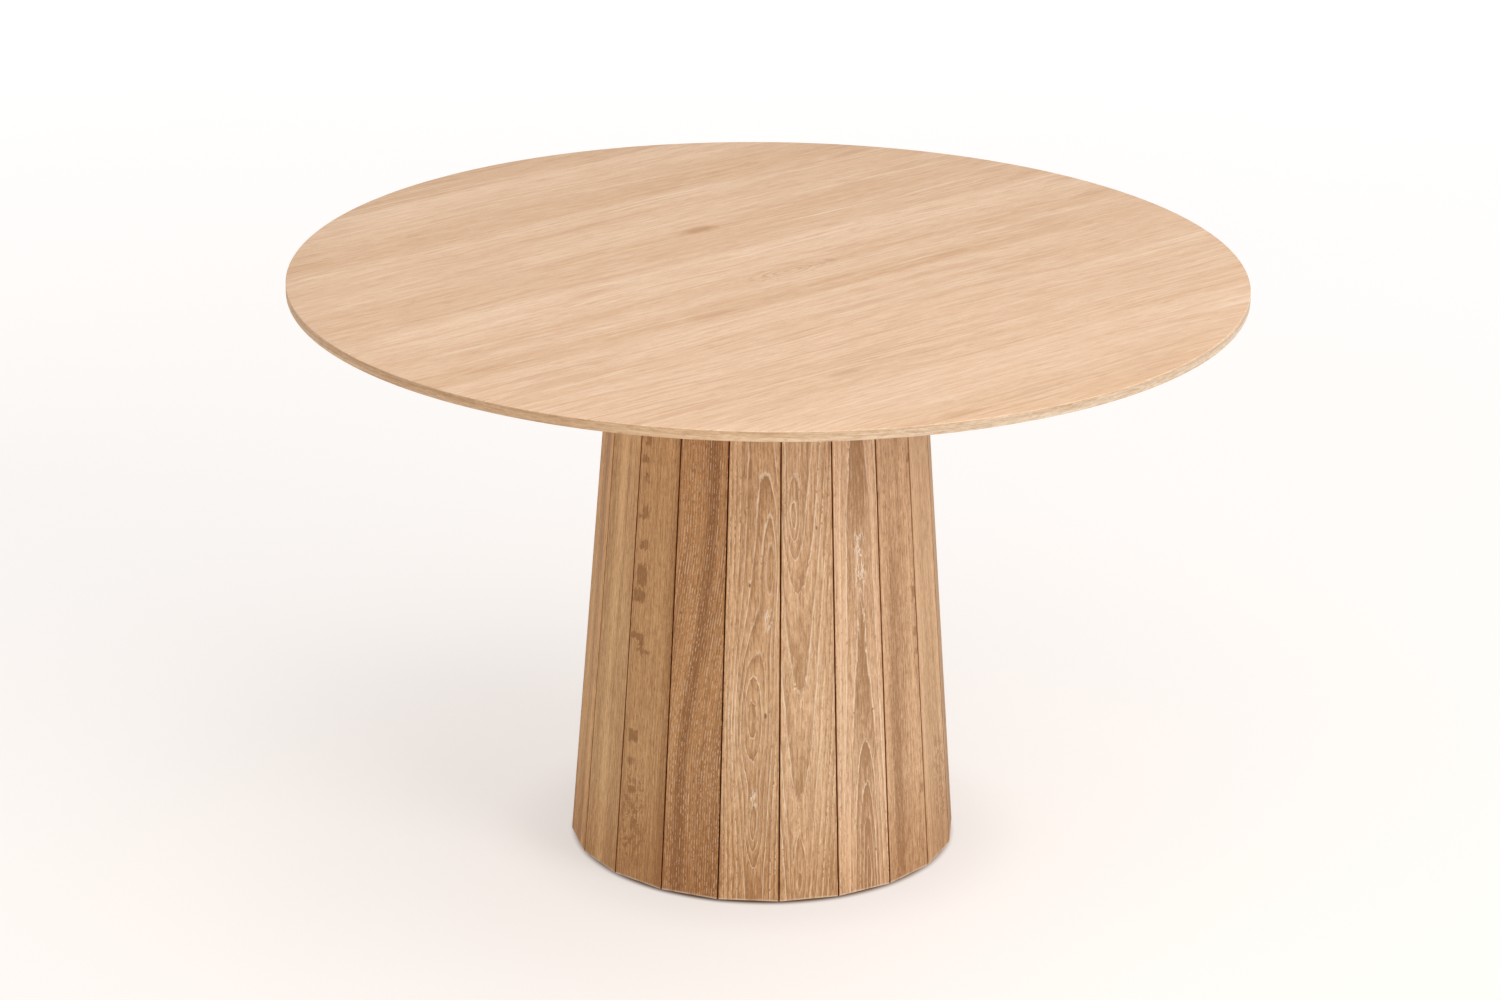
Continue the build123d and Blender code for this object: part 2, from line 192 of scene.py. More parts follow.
def plate(loops, low, high, arris):
    """A flat plate with holes and eased edges. The first loop is its outline and the others are holes."""
    curve = bpy.data.curves.new("plate", "CURVE")
    curve.dimensions = "2D"
    curve.fill_mode = "BOTH"
    curve.extrude = (high - low) / 2 - arris
    curve.bevel_depth = arris
    curve.bevel_resolution = 2
    curve.offset = -arris
    for loop in loops:
        spline = curve.splines.new("POLY")
        spline.points.add(len(loop) - 1)
        for point, (x, y) in zip(spline.points, loop):
            point.co = (x, y, 0, 1)
        spline.use_cyclic_u = True
    source = bpy.data.objects.new("plate", curve)
    scene.collection.objects.link(source)
    bpy.context.view_layer.update()
    mesh = bpy.data.meshes.new_from_object(source.evaluated_get(bpy.context.evaluated_depsgraph_get()))
    bpy.data.objects.remove(source)
    bpy.data.curves.remove(curve)
    mesh.transform(Matrix.Translation((0, 0, (low + high) / 2)))
    bm = bmesh.new()
    bm.from_mesh(mesh)
    bpy.data.meshes.remove(mesh)
    return to_mesh(bm, 1e-5)


def repeated(mesh, places):
    """Copies a mesh to each place and joins the copies."""
    bm = bmesh.new()
    for x, y, turn in places:
        copy = mesh.copy()
        copy.transform(Matrix.Translation((x, y, 0)) @ Matrix.Rotation(turn, 4, "Z"))
        bm.from_mesh(copy)
        bpy.data.meshes.remove(copy)
    joined = bpy.data.meshes.new("piece")
    bm.to_mesh(joined)
    bm.free()
    return joined


# ---------------- shader graphs
class Value:
    """A shader socket that takes ordinary arithmetic."""

    def __init__(self, graph, socket):
        self.graph = graph
        self.socket = socket

    def __abs__(self):
        return self.graph.math("ABSOLUTE", self)


def arithmetic(operation, swapped):
    return lambda one, two: one.graph.math(operation, *((two, one) if swapped else (one, two)))


SIGNS = {"add": "ADD", "sub": "SUBTRACT", "mul": "MULTIPLY", "truediv": "DIVIDE", "pow": "POWER"}
for sign, operation in SIGNS.items():
    setattr(Value, f"__{sign}__", arithmetic(operation, False))
    setattr(Value, f"__r{sign}__", arithmetic(operation, True))


class Graph:
    """Short calls that add and wire shader nodes."""

    def __init__(self, tree):
        self.tree = tree
        self.count = 0

    def node(self, kind, **settings):
        made = self.tree.nodes.new(kind)
        made.location = (180 * (self.count % 12), -260 * (self.count // 12))
        self.count += 1
        for key, value in settings.items():
            setattr(made, key, value)
        return made

    def put(self, socket, value):
        """Sets or links a socket. Values in a tuple are joined into a vector first."""
        if isinstance(value, tuple) and any(isinstance(part, Value) for part in value):
            value = self.join(*value)
        value = getattr(value, "socket", value)
        if isinstance(value, bpy.types.NodeSocket):
            self.tree.links.new(value, socket)
        else:
            socket.default_value = value

    def add(self, kind, inputs, output=0, **settings):
        """Adds a node with its inputs set, and returns one of its outputs."""
        made = self.node(kind, **settings)
        for key, value in inputs.items():
            self.put(made.inputs[key], value)
        return Value(self, made.outputs[output])

    def math(self, operation, a, b=0.0, clamp=False):
        return self.add("ShaderNodeMath", {0: a, 1: b}, operation=operation, use_clamp=clamp)

    def least(self, a, b):
        return self.math("MINIMUM", a, b)

    def most(self, a, b):
        return self.math("MAXIMUM", a, b)

    def length(self, a, b):
        return self.math("SQRT", a * a + b * b)

    def split(self, vector):
        made = self.node("ShaderNodeSeparateXYZ")
        self.put(made.inputs[0], vector)
        return [Value(self, socket) for socket in made.outputs]

    def join(self, x, y, z):
        return self.add("ShaderNodeCombineXYZ", {0: x, 1: y, 2: z})

    def noise(self, at, scale=1.0, detail=2.0, rough=0.5, warp=0.0):
        inputs = {"Vector": at, "Scale": scale, "Detail": detail, "Roughness": rough, "Distortion": warp}
        return self.add("ShaderNodeTexNoise", inputs, "Fac")

    def step(self, value, start, end, low=0.0, high=1.0):
        """Smooth change from low to high as value goes from start to end."""
        inputs = {"Value": value, "From Min": start, "From Max": end, "To Min": low, "To Max": high}
        return self.add("ShaderNodeMapRange", inputs, interpolation_type="SMOOTHSTEP")

    def fade(self, value, start, end, high=1.0):
        """Smooth change from high to nothing as value goes from start to end."""
        return self.step(value, start, end, high, 0.0)

    def near(self, value, middle, half, soft=0.35):
        """1 within half of middle, fading to 0 just outside."""
        return self.fade(abs(value - middle), half * (1 - soft), half * (1 + soft))

    def blend(self, factor, a, b, mode="MIX"):
        inputs = {0: factor, 6: a, 7: b}
        return self.add("ShaderNodeMix", inputs, 2, data_type="RGBA", blend_type=mode, clamp_factor=True)

    def tint(self, factor, base, red, green, blue):
        """Multiplies a colour by another as far as factor says."""
        return self.blend(factor, base, (red, green, blue, 1), "MULTIPLY")

    def ramp(self, value, stops, interpolation="LINEAR"):
        """Grey value read from (position, level) stops."""
        made = self.node("ShaderNodeValToRGB")
        ramp = made.color_ramp
        ramp.interpolation = interpolation
        while len(ramp.elements) < len(stops):
            ramp.elements.new(1.0)
        for element, (position, level) in zip(ramp.elements, stops):
            element.position = position
            element.color = (level, level, level, 1)
        self.put(made.inputs[0], value)
        return Value(self, made.outputs[0])

    def local(self, turn=(0, 0, 0), origin=(0, 0, 0)):
        """Frame coordinates seen from a board's own axes: x out of its face, y across it, z along it."""
        inputs = {"Vector": self.node("ShaderNodeTexCoord").outputs["Object"], "Rotation": turn, "Location": origin}
        return self.add("ShaderNodeMapping", inputs, vector_type="TEXTURE")


def colour(red, green, blue):
    """Linear colour from an sRGB one given in 0 to 255."""
    out = []
    for value in (red, green, blue):
        value /= 255
        out.append(value / 12.92 if value <= 0.04045 else ((value + 0.055) / 1.055) ** 2.4)
    return (*out, 1.0)


def material(name, specular=0.5, **shader):
    """The graph of a new material, which knows the material, its shader and its output, with constants set."""
    made = bpy.data.materials.new(name)
    made.use_nodes = True
    made.node_tree.nodes.clear()
    graph = Graph(made.node_tree)
    graph.material = made
    graph.bsdf = graph.node("ShaderNodeBsdfPrincipled")
    graph.out = graph.node("ShaderNodeOutputMaterial")
    graph.put(graph.out.inputs[0], graph.bsdf.outputs[0])
    for key, value in {"Specular_IOR_Level": specular, **shader}.items():
        graph.bsdf.inputs[key.replace("_", " ")].default_value = value
    return graph


def surface(g, base, rough, height, depth):
    """Wires a colour, a roughness and a bump of a depth into the shader, and returns the material."""
    g.put(g.bsdf.inputs["Base Color"], base)
    g.put(g.bsdf.inputs["Roughness"], rough)
    g.put(g.bsdf.inputs["Normal"], g.add("ShaderNodeBump", {"Height": height, "Distance": depth}))
    return g.material


def group(name, vectors, floats, colours, outputs):
    """A new node group: returns it, its graph, its inputs by name and its output node."""
    tree = bpy.data.node_groups.new(name, "ShaderNodeTree")
    for labels, kind in ((vectors, "Vector"), (floats, "Float"), (colours, "Color")):
        for label in labels:
            tree.interface.new_socket(label, in_out="INPUT", socket_type=f"NodeSocket{kind}")
    for label, kind in outputs.items():
        tree.interface.new_socket(label, in_out="OUTPUT", socket_type=f"NodeSocket{kind}")
    graph = Graph(tree)
    source = graph.node("NodeGroupInput")
    target = graph.node("NodeGroupOutput")
    return tree, graph, {socket.name: Value(graph, socket) for socket in source.outputs if socket.name}, target


def use(graph, tree, **values):
    """Puts a group into a graph with its inputs set, and returns its outputs by name."""
    made = graph.node("ShaderNodeGroup", node_tree=tree)
    for key, value in values.items():
        graph.put(made.inputs[key.replace("_", " ")], value)
    return {socket.name: Value(graph, socket) for socket in made.outputs}


def rings_group():
    """Growth rings of a board, counted from a pith line beside or behind it, and how many cross a metre of it."""
    floats = ("Seed", "Pith Across", "Pith Under", "Drift", "Climb", "Ring", "Sway")
    tree, g, at, out = group("growth_rings", ("At",), floats, (), {"Rings": "Float", "Slope": "Float"})
    x, y, z = g.split(at["At"])

    def wave(across, along, detail):
        value = g.noise((y * across, at["Seed"], z * along), detail=detail)
        return (value - 0.5) * at["Sway"]

    dy = y - (z * at["Drift"] + at["Pith Across"])
    away = g.length(dy, x + at["Pith Under"])
    rings = (z * at["Climb"] + away) / at["Ring"] + wave(12.0, 3.2, 1.0)
    g.put(out.inputs[0], rings + wave(55.0, 17.0, 2.0) * 0.3 + wave(150.0, 75.0, 2.0) * 0.14)
    lean = abs(dy / away) ** 2.0 + at["Climb"] * at["Climb"] + 0.0009
    g.put(out.inputs[1], g.math("SQRT", lean) / at["Ring"])
    return tree


def eye_group():
    """An oval of extra growth rings on a board's face, as where the cut grazes a bulge of the trunk."""
    floats = ("Across", "Along", "Half Width", "Half Length", "Count")
    outputs = {"Rings": "Float", "Slope": "Float", "Presence": "Float"}
    tree, g, at, out = group("ring_eye", ("At",), floats, (), outputs)
    _, y, z = g.split(at["At"])
    wobble = g.noise((y * 45.0, 3.0, z * 16.0)) - 0.5
    dy = (wobble * 0.005 + y - at["Across"]) / at["Half Width"]
    dz = (wobble * 0.02 + z - at["Along"]) / at["Half Length"]
    far = g.length(dy, dz)
    # Rings fall off almost evenly from the middle of the eye to its edge, where they meet the board's own.
    rings = g.math("EXPONENT", far ** 1.5 * -1.0) * at["Count"]
    g.put(out.inputs[0], rings)
    steep = g.length(dy / at["Half Width"], dz / at["Half Length"])
    g.put(out.inputs[1], abs(rings * 1.5 * steep))
    g.put(out.inputs[2], g.fade(far, 0.9, 1.6))
    return tree


def oak_group():
    """Oak seen close to: soft bands, fine streaks, ring lines, rays and pores, some filled with lime."""
    floats = ("Rings", "Slope", "Seed", "Lime", "Bands", "Figure", "Pores", "Flecks", "Bold")
    outputs = {"Color": "Color", "Roughness": "Float", "Height": "Float"}
    tree, g, at, out = group("oak", ("At",), floats, ("Pale", "Deep"), outputs)
    x, y, z = g.split(at["At"])
    seed = at["Seed"] * 3.7
    follow = at["Rings"] * 0.0009 + y

    def streaks(across, along, detail, rough=0.55, shift=0.0):
        return g.noise((follow * across + seed + shift, x * across, z * along), detail=detail, rough=rough)

    bands = streaks(60.0, 1.2, 2.0)
    fine = streaks(330.0, 9.0, 4.0, 0.65, 5.0)
    grit = streaks(400.0, 62.0, 3.0, 0.7, 17.0)
    hair = streaks(1250.0, 40.0, 2.0, 0.6, 9.0)
    dashes = streaks(430.0, 90.0, 2.0, 0.5, 13.0)
    scratch = streaks(900.0, 110.0, 1.0, 0.5, 21.0)
    mottle = g.noise((y * 420.0, seed, z * 260.0), detail=3.0, rough=0.7)
    cloud = g.noise((y * 17.0, seed, z * 5.0), detail=3.0)

    shaken = at["Rings"] + (fine - 0.5) * 0.3 + (grit - 0.5) * 0.22
    phase = g.math("FRACT", shaken)
    row = g.math("FLOOR", shaken + 0.5)
    late = phase ** 1.7
    early = g.fade(phase, 0.0, 0.42)
    edge = g.least(phase, 1.0 - phase)
    bold = g.most(g.fade(at["Slope"], 90.0, 190.0), at["Bold"])
    width = g.least(at["Slope"] * (bold * 0.00055 + 0.00045), 0.18)
    line = g.fade(edge, width * 0.4, width * 1.2)

    tone = (bands - 0.5) * at["Bands"] * 1.5 + (late - 0.37) * at["Figure"] * 0.62 + at["Flecks"]
    for value, weight in ((fine, 1.45), (grit, 1.65), (cloud, 0.45), (hair, 1.25), (mottle, 0.55)):
        tone = tone + (value - 0.5) * weight
    tone = g.math("ADD", tone, 0.5, clamp=True)
    wood = g.blend(tone, at["Pale"], at["Deep"])

    dark_pores = g.step(scratch, 0.55, 0.67) * (early * 0.6 + 0.4) * at["Pores"]
    wood = g.tint(dark_pores, wood, 0.6, 0.5, 0.41)

    # Lime sits in the pores along each ring: almost unbroken where the figure is bold, in stitches where it runs
    # straight, and fading out here and there.
    stitch = g.noise((row * 5.71 + seed, 0.0, z * 150.0), detail=1.0)
    limit = bold * -0.18 + 0.47
    drawn = g.step(stitch, limit, limit + 0.07)
    fading = g.noise((row * 3.3, y * 12.0, z * 11.0), detail=1.0)
    scribble = line * drawn * g.step(fading, 0.36, 0.6, 0.35) * at["Figure"] * (bold * 0.25 + 0.75)
    filled = g.step(dashes, 0.58, 0.68) * (early * 0.5 + 0.3)
    specks = g.step(mottle, 0.6, 0.72) * 0.25
    lime = g.math("MULTIPLY", g.most(g.most(filled * 0.38, specks), scribble), at["Lime"], clamp=True)
    wood = g.blend(lime * 0.76, wood, colour(242, 220, 194))

    g.put(out.inputs["Color"], wood)
    g.put(out.inputs["Roughness"], hair * 0.16 + lime * 0.12 + fine * 0.1)
    g.put(out.inputs["Height"], hair * 0.35 + dark_pores * -0.6 + lime * -0.15 + fine * 0.2)
    return tree


RINGS, EYE, OAK = rings_group(), eye_group(), oak_group()


def finish_oak(g, shade, wood, rough, depth):
    """Wires a colour and an oak group's other outputs into the shader, and returns the material."""
    return surface(g, shade, g.math("ADD", wood["Roughness"], rough, clamp=True), wood["Height"], depth)


# ---------------- oak of the staves
# How each stave was cut. The grain runs straight where the pith lay well to one side, and in long pointed loops where
# it lay behind the face. An eye is (across, along, half width, half length, rings), a knot (across, along, radius), a
# fleck (across, along, half width, half height, strength) and a stripe (across, half width, tone), all from the middle
# of the stave's foot.
STRAIGHT = dict(across=0.13, under=0.03, climb=0.0, ring=0.0042, sway=1.6, lime=1.0, bands=0.8, pores=1.0, figure=1.0)
LOOPED = dict(across=0.0, under=0.055, climb=0.03, ring=0.003, sway=1.2, lime=1.0, bands=0.4, pores=0.7, figure=1.0)
FLECK_LADDER = [
    (-0.019, 0.578, 0.004, 0.008, 0.7), (-0.023, 0.551, 0.005, 0.005, 0.7), (-0.019, 0.527, 0.0035, 0.006, 0.6),
    (-0.018, 0.484, 0.005, 0.008, 0.7), (-0.024, 0.476, 0.005, 0.002, 0.7), (-0.019, 0.441, 0.006, 0.006, 0.7),
    (-0.02, 0.401, 0.007, 0.013, 1.2), (-0.023, 0.374, 0.0085, 0.008, 1.2), (-0.023, 0.322, 0.008, 0.004, 1.0),
    (-0.015, 0.31, 0.003, 0.011, 1.0), (-0.012, 0.303, 0.01, 0.002, 0.9), (-0.021, 0.19, 0.007, 0.007, 1.2),
    (-0.022, 0.156, 0.005, 0.004, 0.6), (-0.018, 0.118, 0.005, 0.005, 0.4),
]
FRONT_STAVES = {
    11: dict(STRAIGHT, joint_edge_shade=0.25, tone=(198, 151, 94), lime=0.3, bands=1.3, figure=0.4, pores=0.7),
    12: dict(STRAIGHT, joint_edge_shade=0.25, tone=(205, 164, 113), lime=0.4, bands=0.6, figure=0.35, pores=0.5, across=-0.14,
             stripes=[(-0.026, 0.009, 0.2), (-0.004, 0.008, -0.35), (0.016, 0.007, 0.25), (0.03, 0.008, 0.15)]),
    13: dict(STRAIGHT, tone=(193, 149, 99), lime=0.9, bands=0.5, figure=0.3, across=-0.12, flecks=FLECK_LADDER,
             stripes=[(0.034, 0.009, 0.6), (-0.022, 0.01, -0.15)], mottled=(-0.015, 0.085, 0.016, 0.06)),
    14: dict(STRAIGHT, tone=(176, 129, 81), across=-0.11, bend=(0.14, 0.52, 0.034), ring=0.0031, sway=1.2,
             stripes=[(-0.018, 0.008, 0.75), (-0.04, 0.008, -0.3), (-0.002, 0.006, -0.25)]),
    15: dict(LOOPED, tone=(197, 158, 117), pores=0.8, across=0.006, under=0.05, climb=0.004, sway=0.8,
             eyes=[(0.0, 0.24, 0.024, 0.092, -4.6), (0.023, 0.44, 0.011, 0.092, -3.6),
                   (0.005, 0.1, 0.0085, 0.04, -3.0)],
             knots=[(0.018, 0.244, 0.0024), (-0.004, 0.412, 0.0018)],
             stripes=[(0.008, 0.008, 0.35), (-0.026, 0.008, -0.3)],
             scribbles=[(0.02, 0.368, 0.005, 0.014), (0.004, 0.135, 0.004, 0.012)]),
    16: dict(LOOPED, tone=(202, 166, 128), bands=0.35, figure=0.85, pores=0.8, across=-0.01, climb=-0.03, ring=0.0036,
             sway=0.8, eyes=[(-0.017, 0.5, 0.0085, 0.044, -3.0), (-0.012, 0.02, 0.01, 0.05, -2.4)],
             knots=[(0.012, 0.484, 0.0016)], stripes=[(-0.008, 0.012, 0.2), (0.026, 0.006, 0.25)]),
    17: dict(LOOPED, tone=(194, 158, 122), figure=0.9, across=0.004, under=0.06, climb=0.012, ring=0.0034, sway=0.9,
             eyes=[(0.008, 0.03, 0.0115, 0.11, -3.2)], scribbles=[(0.004, 0.43, 0.007, 0.04)],
             stripes=[(0.004, 0.012, 0.6), (-0.026, 0.012, -0.5), (0.03, 0.006, -0.25)]),
    18: dict(STRAIGHT, tone=(187, 149, 111), lime=0.8, figure=0.4, stripes=[(-0.016, 0.008, 0.3), (0.018, 0.006, -0.3)],
             flecks=[(0.031, 0.545, 0.004, 0.006, 0.7), (0.031, 0.37, 0.004, 0.008, 0.7),
                     (0.031, 0.318, 0.004, 0.005, 0.6), (0.032, 0.29, 0.003, 0.004, 0.5),
                     (0.031, 0.11, 0.004, 0.006, 0.5)]),
    19: dict(STRAIGHT, joint_edge_shade=0.25, tone=(191, 154, 114), lime=0.3, bands=0.7, figure=0.55, pores=0.5, across=-0.09,
             eyes=[(0.016, 0.105, 0.016, 0.075, -4.0)], stripes=[(-0.028, 0.008, -0.4)],
             mottled=(0.016, 0.1, 0.016, 0.06)),
    20: dict(LOOPED, joint_edge_shade=0.25, tone=(176, 137, 93), lime=0.5, bands=0.8, figure=0.9, across=0.012, climb=0.02,
             mottled=(0.02, 0.12, 0.02, 0.06)),
}
TONES = {"stave_oak_pale": (206, 165, 127), "stave_oak_honey": (195, 153, 114), "stave_oak_brown": (179, 136, 96)}
BACK_STAVE_SEED = 700
LIPPING_SEED = 90


def stave_slot(number):
    """The record's material slot of a stave."""
    return next(p["material_slot"] for p in frame["record"]["subparts"] if p["node"] == f"stave_{number:02d}")


def stave_style(number):
    """Cut, tone and figure of a stave: listed for those at the front, and drawn by seed for the others."""
    if number in FRONT_STAVES:
        return FRONT_STAVES[number]
    draw = random.Random(BACK_STAVE_SEED + number)
    between = draw.uniform
    looped = draw.random() < 0.5
    style = dict(LOOPED if looped else STRAIGHT)
    shade = between(-5, 5)
    style.update(
        tone=tuple(c + shade for c in TONES[stave_slot(number)]),
        lime=between(0.4, 1.0),
        bands=between(0.6, 1.2),
        figure=between(0.8, 1.0) if looped else between(0.35, 0.8),
        pores=between(0.5, 1.0),
    )
    style["across"] = style["across"] * draw.choice((-1, 1)) + between(-0.015, 0.015)
    style["climb"] *= draw.choice((-1, 1)) * between(0.5, 1.4)
    if looped:
        style["eyes"] = [
            (between(-0.02, 0.02), between(0.05, 0.68), between(0.008, 0.015), between(0.04, 0.09), -between(2.5, 5.0))
            for _ in range(draw.choice((1, 1, 2)))
        ]
    elif draw.random() < 0.4:
        side = between(-0.022, 0.022)
        style["flecks"] = [
            (side + between(-0.003, 0.003), between(0.05, 0.68), between(0.004, 0.007),
             between(0.004, 0.01), between(0.5, 1.1))
            for _ in range(9)
        ]
    style["stripes"] = [(between(-0.03, 0.03), between(0.006, 0.012), between(-0.5, 0.5)) for _ in range(3)]
    return style


def stave_material(number, angle):
    """Brushed, limed solid oak with its own rings, tone and seed."""
    style = stave_style(number)
    g = material(f"limed_oak_{number:02d}", 0.32)
    foot = (COLUMN_FOOT_RADIUS * cos(angle), COLUMN_FOOT_RADIUS * sin(angle), COLUMN_LOW_Z)
    at = g.local((0, -LEAN, angle), foot)
    x, y, z = g.split(at)
    middle = abs(y)
    if "bend" in style:
        low, high, shift = style["bend"]
        y = y - g.step(z, low, high, 0.0, shift)
        at = g.join(x, y, z)
    seed = number * 1.37
    grown = use(g, RINGS, At=at, Seed=seed, Pith_Across=style["across"], Pith_Under=style["under"],
                Climb=style["climb"], Ring=style["ring"], Sway=style["sway"])
    rings, slope, bold = grown["Rings"], grown["Slope"], 0.0
    for across, along, wide, tall, count in style.get("eyes", ()):
        eye = use(g, EYE, At=at, Across=across, Along=along, Half_Width=wide, Half_Length=tall, Count=count)
        rings = rings + eye["Rings"]
        slope = g.most(slope, eye["Slope"])
        bold = g.most(bold, eye["Presence"])

    ragged = g.noise((y * 260.0, seed, z * 120.0), detail=3.0, rough=0.65) - 0.5
    shaken_y = ragged * 0.011 + y
    shaken_z = ragged * 0.017 + z
    drifting = (g.noise((seed, 0.0, z * 4.0)) - 0.5) * 0.022 + y
    marks = 0.0
    for across, along, wide, tall, strength in style.get("flecks", ()):
        block = g.near(shaken_y, across, wide) * g.near(shaken_z, along, tall)
        marks = block * (strength * 0.9) + marks
    for across, half, strength in style.get("stripes", ()):
        marks = g.near(drifting, across, half, 0.8) * (strength * 0.55) + marks
    if "mottled" in style:
        across, along, wide, tall = style["mottled"]
        swirl = g.noise((y * 120.0, 4.0, z * 90.0), rough=0.6, warp=1.2)
        patch = g.near(y, across, wide, 0.5) * g.near(z, along, tall, 0.5)
        marks = g.step(swirl, 0.5, 0.57) * patch * 0.45 + marks
    # Painted shade: the wood is darker towards the foot, where less light comes up from the floor, and just under the
    # top's overhang.
    marks = marks + g.fade(z, 0.0, 0.16, 0.26) + g.step(z, 0.6, 0.72, 0.0, 0.13)

    tone = style["tone"]
    pale = colour(*(min(255, c * k + 5) for c, k in zip(tone, (1.12, 1.135, 1.17))))
    deep = colour(*(c * k for c, k in zip(tone, (0.825, 0.76, 0.67))))
    wood = use(g, OAK, At=at, Rings=rings, Slope=slope, Seed=seed, Pale=pale, Deep=deep, Lime=style["lime"],
               Bands=style["bands"], Figure=style["figure"], Pores=style["pores"], Flecks=marks, Bold=bold)
    shade = wood["Color"]
    for across, along, wide, tall in style.get("scribbles", ()):
        thread = g.noise((y * 210.0, seed, z * 38.0), detail=3.0, rough=0.6, warp=0.8)
        line = g.fade(abs(thread - 0.5), 0.015, 0.04)
        spot = g.near(shaken_y, across, wide, 0.5) * g.near(z, along, tall, 0.4)
        shade = g.blend(line * spot * 0.8, shade, colour(240, 222, 202))
    for across, along, size in style.get("knots", ()):
        far = g.length(y - across, (z - along) * 0.45)
        shade = g.blend(g.fade(far, size * 0.4, size, 0.75), shade, colour(104, 66, 38))
    # The wood is warmer at both ends too.
    ends = g.fade(z, 0.0, 0.15) + g.step(z, 0.6, 0.72, 0.0, 0.6)
    shade = g.tint(ends, shade, 1.0, 0.935, 0.86)
    # The arris at the foot is pale, more in some places than in others: partly wear, partly a painted highlight where
    # the eased edge catches the light.
    worn_and_lit = g.fade(z, 0.0012, 0.0036) * g.step(g.noise(at, 55.0, 3.0), 0.36, 0.56, 0.2, 0.65)
    shade = g.blend(worn_and_lit, shade, colour(228, 202, 172))
    # The sides of the joints, between the face and the inside of the wall, are dark: partly dust and old finish, partly
    # painted shade of the narrow gaps.
    joint_dust_and_shade = g.fade(x, -0.0012, -0.0003) * g.step(x, -0.0192, -0.018)
    shade = g.tint(joint_dust_and_shade, shade, 0.3, 0.105, 0.014)
    # Painted shade darkens the rounded edges beside the joints, where the narrow gaps shade them.
    narrowing = (CORNER_LOW - CORNER_HIGH) / COLUMN_HEIGHT * sin(HALF)
    inset = z * -narrowing + CORNER_LOW * sin(HALF) - middle
    joint_edge_shade = g.fade(inset, STAVE_GAP / 2 + 0.0004, STAVE_GAP / 2 + 0.0013, style.get("joint_edge_shade", 0.62))
    shade = g.tint(joint_edge_shade, shade, 0.74, 0.5, 0.25)
    return finish_oak(g, shade, wood, 0.46, 0.00022)


# ---------------- oak of the top
GRAIN_TURN = radians(36.0)
LEAVES_ACROSS = 1.24
# Where each leaf starts, as a fraction from the near right to the far left, with its seed. The joints are the sharp
# steps in tone: most leaves are pale along the joint with the leaf before and darken across their width.
LEAF_SEEDS = [
    (0.0, 0.1), (0.172, 0.75), (0.338, 0.35), (0.418, 0.9), (0.496, 0.55), (0.584, 0.2), (0.785, 0.65), (0.926, 0.4),
]
LEAF_TONES = [
    (0.0, 0.3), (0.06, 0.38), (0.1, 0.58), (0.168, 0.7), (0.19, 0.48), (0.25, 0.46), (0.325, 0.62), (0.345, 0.42),
    (0.4, 0.6), (0.418, 0.64), (0.426, 0.26), (0.452, 0.28), (0.47, 0.62), (0.488, 0.5), (0.496, 0.32), (0.508, 0.44),
    (0.53, 0.68), (0.578, 0.74), (0.588, 0.38), (0.645, 0.42), (0.655, 0.34), (0.71, 0.56), (0.735, 0.42),
    (0.765, 0.68), (0.779, 0.62), (0.787, 0.25), (0.835, 0.33), (0.88, 0.6), (0.922, 0.68), (0.931, 0.22),
]
# Brown flecks as (along, across, half length, half width, strength).
TOP_FLECKS = [
    (0.056, 0.199, 0.04, 0.04 / 2.6, 0.75), (0.442, 0.344, 0.05, 0.01, 0.4), (0.237, -0.077, 0.055, 0.01, 0.3),
    (-0.05, -0.076, 0.045, 0.01, 0.3), (-0.161, -0.084, 0.05, 0.01, 0.3), (-0.504, -0.075, 0.04, 0.01, 0.35),
    (-0.185, -0.351, 0.04, 0.01, 0.4), (-0.175, -0.55, 0.05, 0.01, 0.35), (0.128, 0.368, 0.06, 0.01, 0.2),
    (0.56, 0.001, 0.05, 0.01, 0.35), (0.1, -0.004, 0.012, 0.01, 0.45),
]


